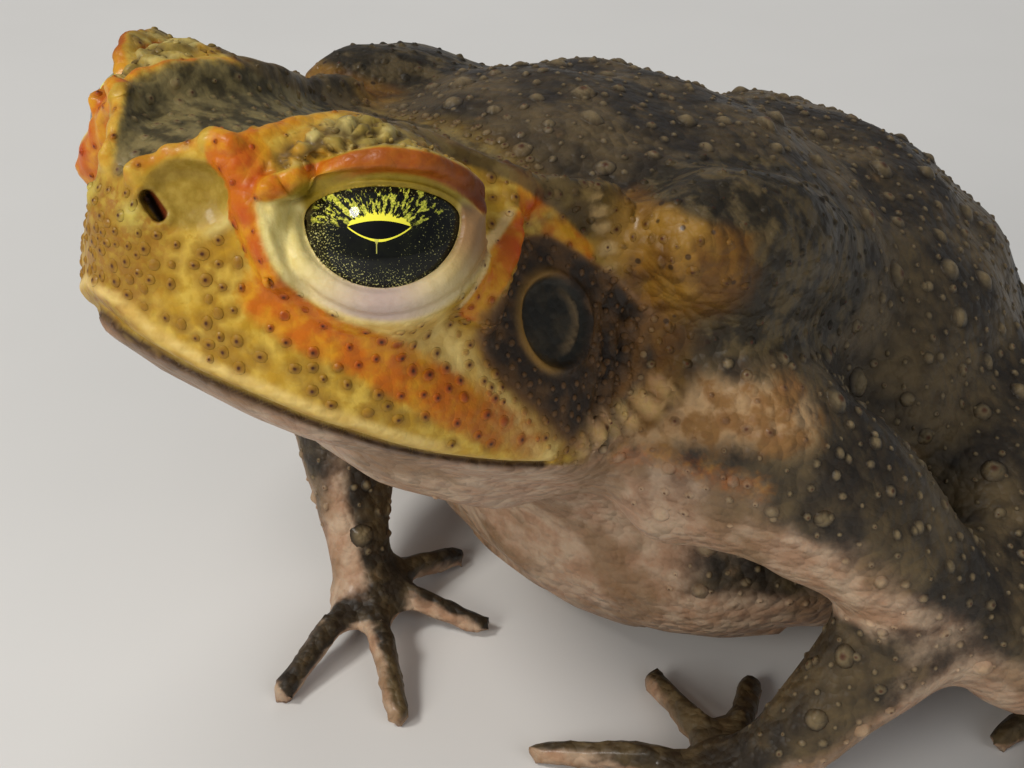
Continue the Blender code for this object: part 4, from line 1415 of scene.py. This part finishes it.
face, crown, pit, lid_top, cream = triangle_masks("face", "crown", "pit", "lid_top", "cream")
dark, drum, gland, under, shoulder = triangle_masks("dark", "drum", "gland", "under", "shoulder")
centres = CORNERS.mean(axis=1)
middles = folded(centres)
eye_middles = to_eye(middles)
crest_gap = crest_distance(middles)

clear_of_lids = 1 - ease(-opening_gap(eye_middles)[0], -3.4, -2.6) * (eye_middles[:, 2] > 0)
clear_of_lids[off_sight(eye_middles) > 10.5] = 1
open_face = face * clear_of_lids * (dark < 0.6) * (pit < 0.1) * (1 - crown) * (1 - 0.5 * cream)
open_face *= (1 - ease(lid_top, 0.1, 0.5)) * ease(mouth_height(middles), 1.7, 2.3)
spacing = 1.4 + 0.5 * rumple(centres, 3.0, 8) - 0.25 * ease(middles[:, 1], 28, 33) + 0.9 * (crest_gap < 1.6)
spacing = np.maximum(spacing, 0.8)
weight = open_face + 1e-9
shape = {"crests": (0.6, 0.7), "tipped": 0.85}
plant("face_tubercles", "head_skin", weight, spacing, 11, (0.34, 0.26), (0.10, 0.14), FACE_WART, **shape)

on_lid = np.where(lid_top > 0.5, 1.0, NOWHERE)
plant("eyelid_cobbles", "head_skin", on_lid, 1.5, 12, (0.24, 0.20), (0.12, 0.12), FLAT_WART, sides=12)

off_ring = np.abs(ear_distance(middles) - TYMPANUM_RADIUS) > 0.7
near_ear = dark * (1 - ease(drum, 0.02, 0.3)) * off_ring + NOWHERE
plant("ear_grain", "head_skin", near_ear, 0.95, 13, (0.26, 0.16), (0.10, 0.08), ROUND_WART, sides=8)

on_crown = crown * (crest_gap > 1.2) * (pit < 0.05) + NOWHERE
plant("crown_warts", "head_skin", on_crown, 1.5, 14, (0.30, 0.28), (0.12, 0.12), HORNY_WART, tipped=0.6)

# %% [markdown]
# The body's warts come in two sizes. Big tan ones with horny tips stand apart on the back and flanks, and
# small ones fill the ground between them and cover the limbs, thinning out towards the belly.

# %% Warts of the body
body = (1 - ease(face, 0.05, 0.4)) * (1 - ease(under, 0.3, 0.9)) * (1 - in_digits(centres))
big = body * ease(centres[:, 2], 8, 16) * (gland < 0.3) * (shoulder < 0.2) * (1 - cream) + NOWHERE
shape = {"power": 2, "in_proportion": True, "sides": 14, "tipped": 0.5}
plant("body_warts", "back_skin", big, 4.2, 21, (0.70, 0.90), (0.36, 0.16), HORNY_WART, **shape)

shape = {"power": 1.5, "in_proportion": True, "sides": 7, "tipped": 0.4}
plant("small_warts", "back_skin", body + NOWHERE, 1.85, 22, (0.30, 0.34), (0.38, 0.2), HORNY_WART, **shape)

# %% [markdown]
# Round each wart the skin is a little darker. This is one more mask on the skin: how near each
# of its places lies to the nearest root, counted in that wart's own radii.

# %% Darken the skin round the warts
all_roots = np.vstack([roots for roots, radii in WART_ROOTS])
all_radii = np.concatenate([radii for roots, radii in WART_ROOTS])
near_roots = KDTree(len(all_roots))
for index, root in enumerate(all_roots):
    near_roots.insert(root, index)
near_roots.balance()
nearest = [near_roots.find(place)[1:] for place in SKIN_PLACES]
halo = np.array([1 - ease(distance / all_radii[index], 1.0, 2.3) for index, distance in nearest])
flat_skin = np.zeros(len(SKIN_PLACES))
store(skin, {"wart": flat_skin, "tip": flat_skin, "halo": halo})
print("stained the skin round", len(all_roots), "warts")

# %% [markdown]
# ## The eyes
# The eyeball is a sphere whose poles lie on its line of sight, so that its rings are rings of the iris, and
# its middle is raised into the cornea. The iris is painted by formula: a lens-shaped pupil with a gold rim,
# gold streaks above, fine gold dust below, and a clear coat over all that gives the wet shine.

# %% Shape the eyeballs
CORNEA_RISE = 0.3
CORNEA_RADIUS = 5.4


def make_eye(side, sign):
    bpy.ops.object.select_all(action="DESELECT")
    bpy.ops.mesh.primitive_uv_sphere_add(segments=96, ring_count=72, radius=EYE_RADIUS * MM)
    eyeball = bpy.context.active_object
    eyeball.name = f"eyeball_{side}"
    local = places_of(eyeball)
    outward = np.hypot(local[:, 0], local[:, 1])
    front = local[:, 2] > 0
    local[:, 2] += CORNEA_RISE * front * np.clip(1 - (outward / CORNEA_RADIUS) ** 2, 0, 1) ** 2
    mixed = EYEBALL + local[:, :1] * ACROSS + local[:, 1:2] * UPWARD + local[:, 2:3] * SIGHT
    mixed[:, 0] *= sign
    move_to(eyeball, from_head(mixed))
    store(eyeball, {"eye_across": local[:, 0], "eye_up": local[:, 1]})
    edit_whole(eyeball, bpy.ops.mesh.normals_make_consistent, inside=False)
    bpy.ops.object.shade_smooth()
    return eyeball


EYEBALLS = {side: make_eye(side, sign) for side, sign in SIDES.items()}
print("made", len(EYEBALLS), "eyeballs")

# %% The iris and its pupil
PUPIL_MIDDLE = (-0.46, 0.95)
PUPIL_HALF_WIDTH = 2.33
PUPIL_RISE = 0.42
PUPIL_FALL = 0.94
STREAK_DROP = 1.4
STREAKS_PER_RADIAN = 11.0


def eye_finish():
    mat = Recipe("toad eye")
    a, b = mat.mask("eye_across"), mat.mask("eye_up")
    across = mat.minus(a, PUPIL_MIDDLE[0])
    up = mat.minus(b, PUPIL_MIDDLE[1])
    flat = mat.pair(across, up)
    low = mat.plus(up, STREAK_DROP)
    angle = mat.times(mat.math("ARCTAN2", across, low), STREAKS_PER_RADIAN)
    fan = mat.pair(angle, mat.times(mat.length(across, low), 1.25))
    streaks = mat.cloud(1.0, detail=4, where=fan, roughness=0.62)
    dust = mat.cloud(0.15, detail=2, where=flat, roughness=0.7)
    slow = mat.cloud(1.6, detail=2, where=flat)

    share = mat.math("DIVIDE", across, PUPIL_HALF_WIDTH)
    lens = mat.minus(1.0, mat.times(share, share))
    over = mat.minus(up, mat.times(lens, PUPIL_RISE))
    below = mat.minus(mat.times(up, -1.0), mat.times(lens, PUPIL_FALL))
    in_lens = mat.between(lens, -0.06, 0.06)

    upper_half = mat.between(up, -0.5, 0.7)
    from_front = mat.math("ABSOLUTE", mat.plus(across, 0.7))
    dense = mat.times(upper_half, mat.minus(1.0, mat.between(from_front, 3.6, 6.4)))
    dense = mat.times(dense, mat.line(mat.between(b, 2.6, 4.2), -0.5, 1.0))
    cut = mat.line(dense, -0.18, 0.665)
    cut = mat.line(mat.minus(slow, 0.5), -0.25, cut)
    gold_streaks = mat.times(mat.between(mat.minus(streaks, cut), 0.0, 0.05), upper_half)
    ring = mat.between(mat.length(across, up), 1.6, 4.4)
    front_more = mat.minus(1.0, mat.times(mat.between(across, 0.5, 4.0), 0.5))
    dust_cut = mat.line(mat.times(ring, front_more), -0.125, 0.70)
    dust_cut = mat.line(mat.minus(slow, 0.5), -0.15, dust_cut)
    gold_dust = mat.between(mat.minus(dust, dust_cut), 0.0, 0.04)

    spikes = mat.cloud(0.9, detail=3, where=fan)
    thin_out = mat.math("SQRT", mat.larger(lens, 0.0))
    rim_width = mat.times(thin_out, mat.line(spikes, 1.5, -0.18))
    upper_rim = mat.times(mat.math("LESS_THAN", over, rim_width), mat.math("GREATER_THAN", up, -0.03))
    thin_rim = mat.line(mat.between(mat.math("ABSOLUTE", across), 1.1, 0.1), 0.07, 0.125)
    lower_rim = mat.times(mat.math("LESS_THAN", below, thin_rim), mat.math("LESS_THAN", up, 0.0))
    rim = mat.times(mat.larger(upper_rim, lower_rim), in_lens)
    depth = mat.minus(mat.times(up, -1.0), PUPIL_FALL)
    notch_width = mat.line(mat.between(depth, 0.0, 0.45), -0.14, 0.18)
    aside = mat.math("ABSOLUTE", mat.plus(across, 0.2))
    notch = mat.times(mat.math("LESS_THAN", aside, notch_width), mat.between(depth, -0.02, 0.02))
    notch = mat.times(notch, mat.math("LESS_THAN", depth, 1.05))

    colour = mat.blotches(slow, 0.35, 0.7, (0.002, 0.0024, 0.0016), (0.006, 0.007, 0.003))
    colour = mat.paint(colour, gold_dust, (0.42, 0.40, 0.14))
    gold = mat.blotches(dust, 0.35, 0.65, (0.20, 0.24, 0.014), (0.70, 0.66, 0.090))
    colour = mat.paint(colour, gold_streaks, gold)
    colour = mat.paint(colour, rim, (0.85, 0.78, 0.06))
    colour = mat.paint(colour, notch, (0.50, 0.47, 0.10), 0.75)
    pupil = mat.math("LESS_THAN", mat.larger(over, below), 0.0)
    colour = mat.paint(colour, pupil, (0.001, 0.001, 0.001))
    colour = mat.paint(colour, mat.between(mat.length(a, b), 5.6, 6.1), (0.010, 0.006, 0.003))
    mat.settle({
        "Base Color": colour,
        "Roughness": 0.55,
        "Specular IOR Level": 0.1,
        "Coat Weight": 1.0,
        "Coat Roughness": 0.015,
        "Coat IOR": 1.3,
    })
    return mat.material


EYE_FINISH = eye_finish()
for side, eyeball in EYEBALLS.items():
    eyeball.data.materials.clear()
    eyeball.data.materials.append(EYE_FINISH)
    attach(eyeball, "root")
    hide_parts(f"eye_{side}")
print("the eyes are finished")

# %% [markdown]
# ## Floor, light and camera
# The model stands on a plain pale floor in soft studio light: a key light from the camera's upper left, which
# puts the glint in the eye, a low one in front, a weaker fill from the right, one from behind, and a pale
# world. The camera looks the toad in the left eye from in front and above, as close as the photo was taken.

# %% Floor, light and camera
FLOOR_SIZE = 6.0
LAMP_AIM = Vector((0, -0.03, 0.05))
bpy.ops.object.select_all(action="DESELECT")
bpy.ops.mesh.primitive_plane_add(size=FLOOR_SIZE, location=(0, 0, 0))
floor = bpy.context.active_object
floor.name = "floor"
floor_finish = Recipe("pale floor")
paper = floor_finish.cloud(40.0, detail=2)
paper = floor_finish.mix(paper, (0.62, 0.61, 0.59), (0.66, 0.65, 0.63))
floor_finish.settle({"Base Color": paper, "Roughness": 0.8})
floor.data.materials.append(floor_finish.material)

CAMERA_FROM_EYE = np.array((88.15, -70.68, 55.78))
CAMERA_TURN = math.radians(46.3)
CAMERA_FALL = math.radians(31.5)
CAMERA_LENS = 56.74
CAMERA_FILM = 36
NEAREST_SEEN = 0.005
camera = add("camera", bpy.data.cameras.new("camera"))
camera.location = Vector((EYE_MIDDLES["left"] + CAMERA_FROM_EYE) * MM)
camera.rotation_euler = (math.pi / 2 - CAMERA_FALL, 0, CAMERA_TURN)
camera.data.sensor_width = CAMERA_FILM
camera.data.lens = CAMERA_LENS
camera.data.clip_start = NEAREST_SEEN
bpy.context.scene.camera = camera


def soft_light(name, place, power, size, colour, in_gloss=True):
    """A round lamp that faces the toad's head; only the key light shows as a glint in the eye."""
    lamp = add(name, bpy.data.lights.new(name, "AREA"))
    lamp.location = Vector(place)
    lamp.rotation_euler = (LAMP_AIM - lamp.location).to_track_quat("-Z", "Y").to_euler()
    lamp.data.energy = power
    lamp.data.shape = "DISK"
    lamp.visible_glossy = in_gloss
    lamp.data.size = size
    lamp.data.color = colour


soft_light("key", (-0.25, -0.60, 0.76), 4.6, 0.22, (1.0, 0.97, 0.92))
soft_light("front", (0.05, -0.45, 0.24), 1.0, 0.2, (1.0, 0.97, 0.92), in_gloss=False)
soft_light("fill", (0.75, -0.10, 0.45), 1.6, 0.6, (0.95, 0.97, 1.0), in_gloss=False)
soft_light("rim", (-0.5, 0.6, 0.6), 3.0, 0.5, (1.0, 0.98, 0.95), in_gloss=False)
world = bpy.data.worlds.new("studio")
bpy.context.scene.world = world
world.use_nodes = True
world.node_tree.nodes["Background"].inputs["Color"].default_value = (0.82, 0.86, 0.92, 1)
world.node_tree.nodes["Background"].inputs["Strength"].default_value = 0.24
bpy.context.scene.view_settings.view_transform = "Standard"
print("camera at", [round(value, 3) for value in camera.location])
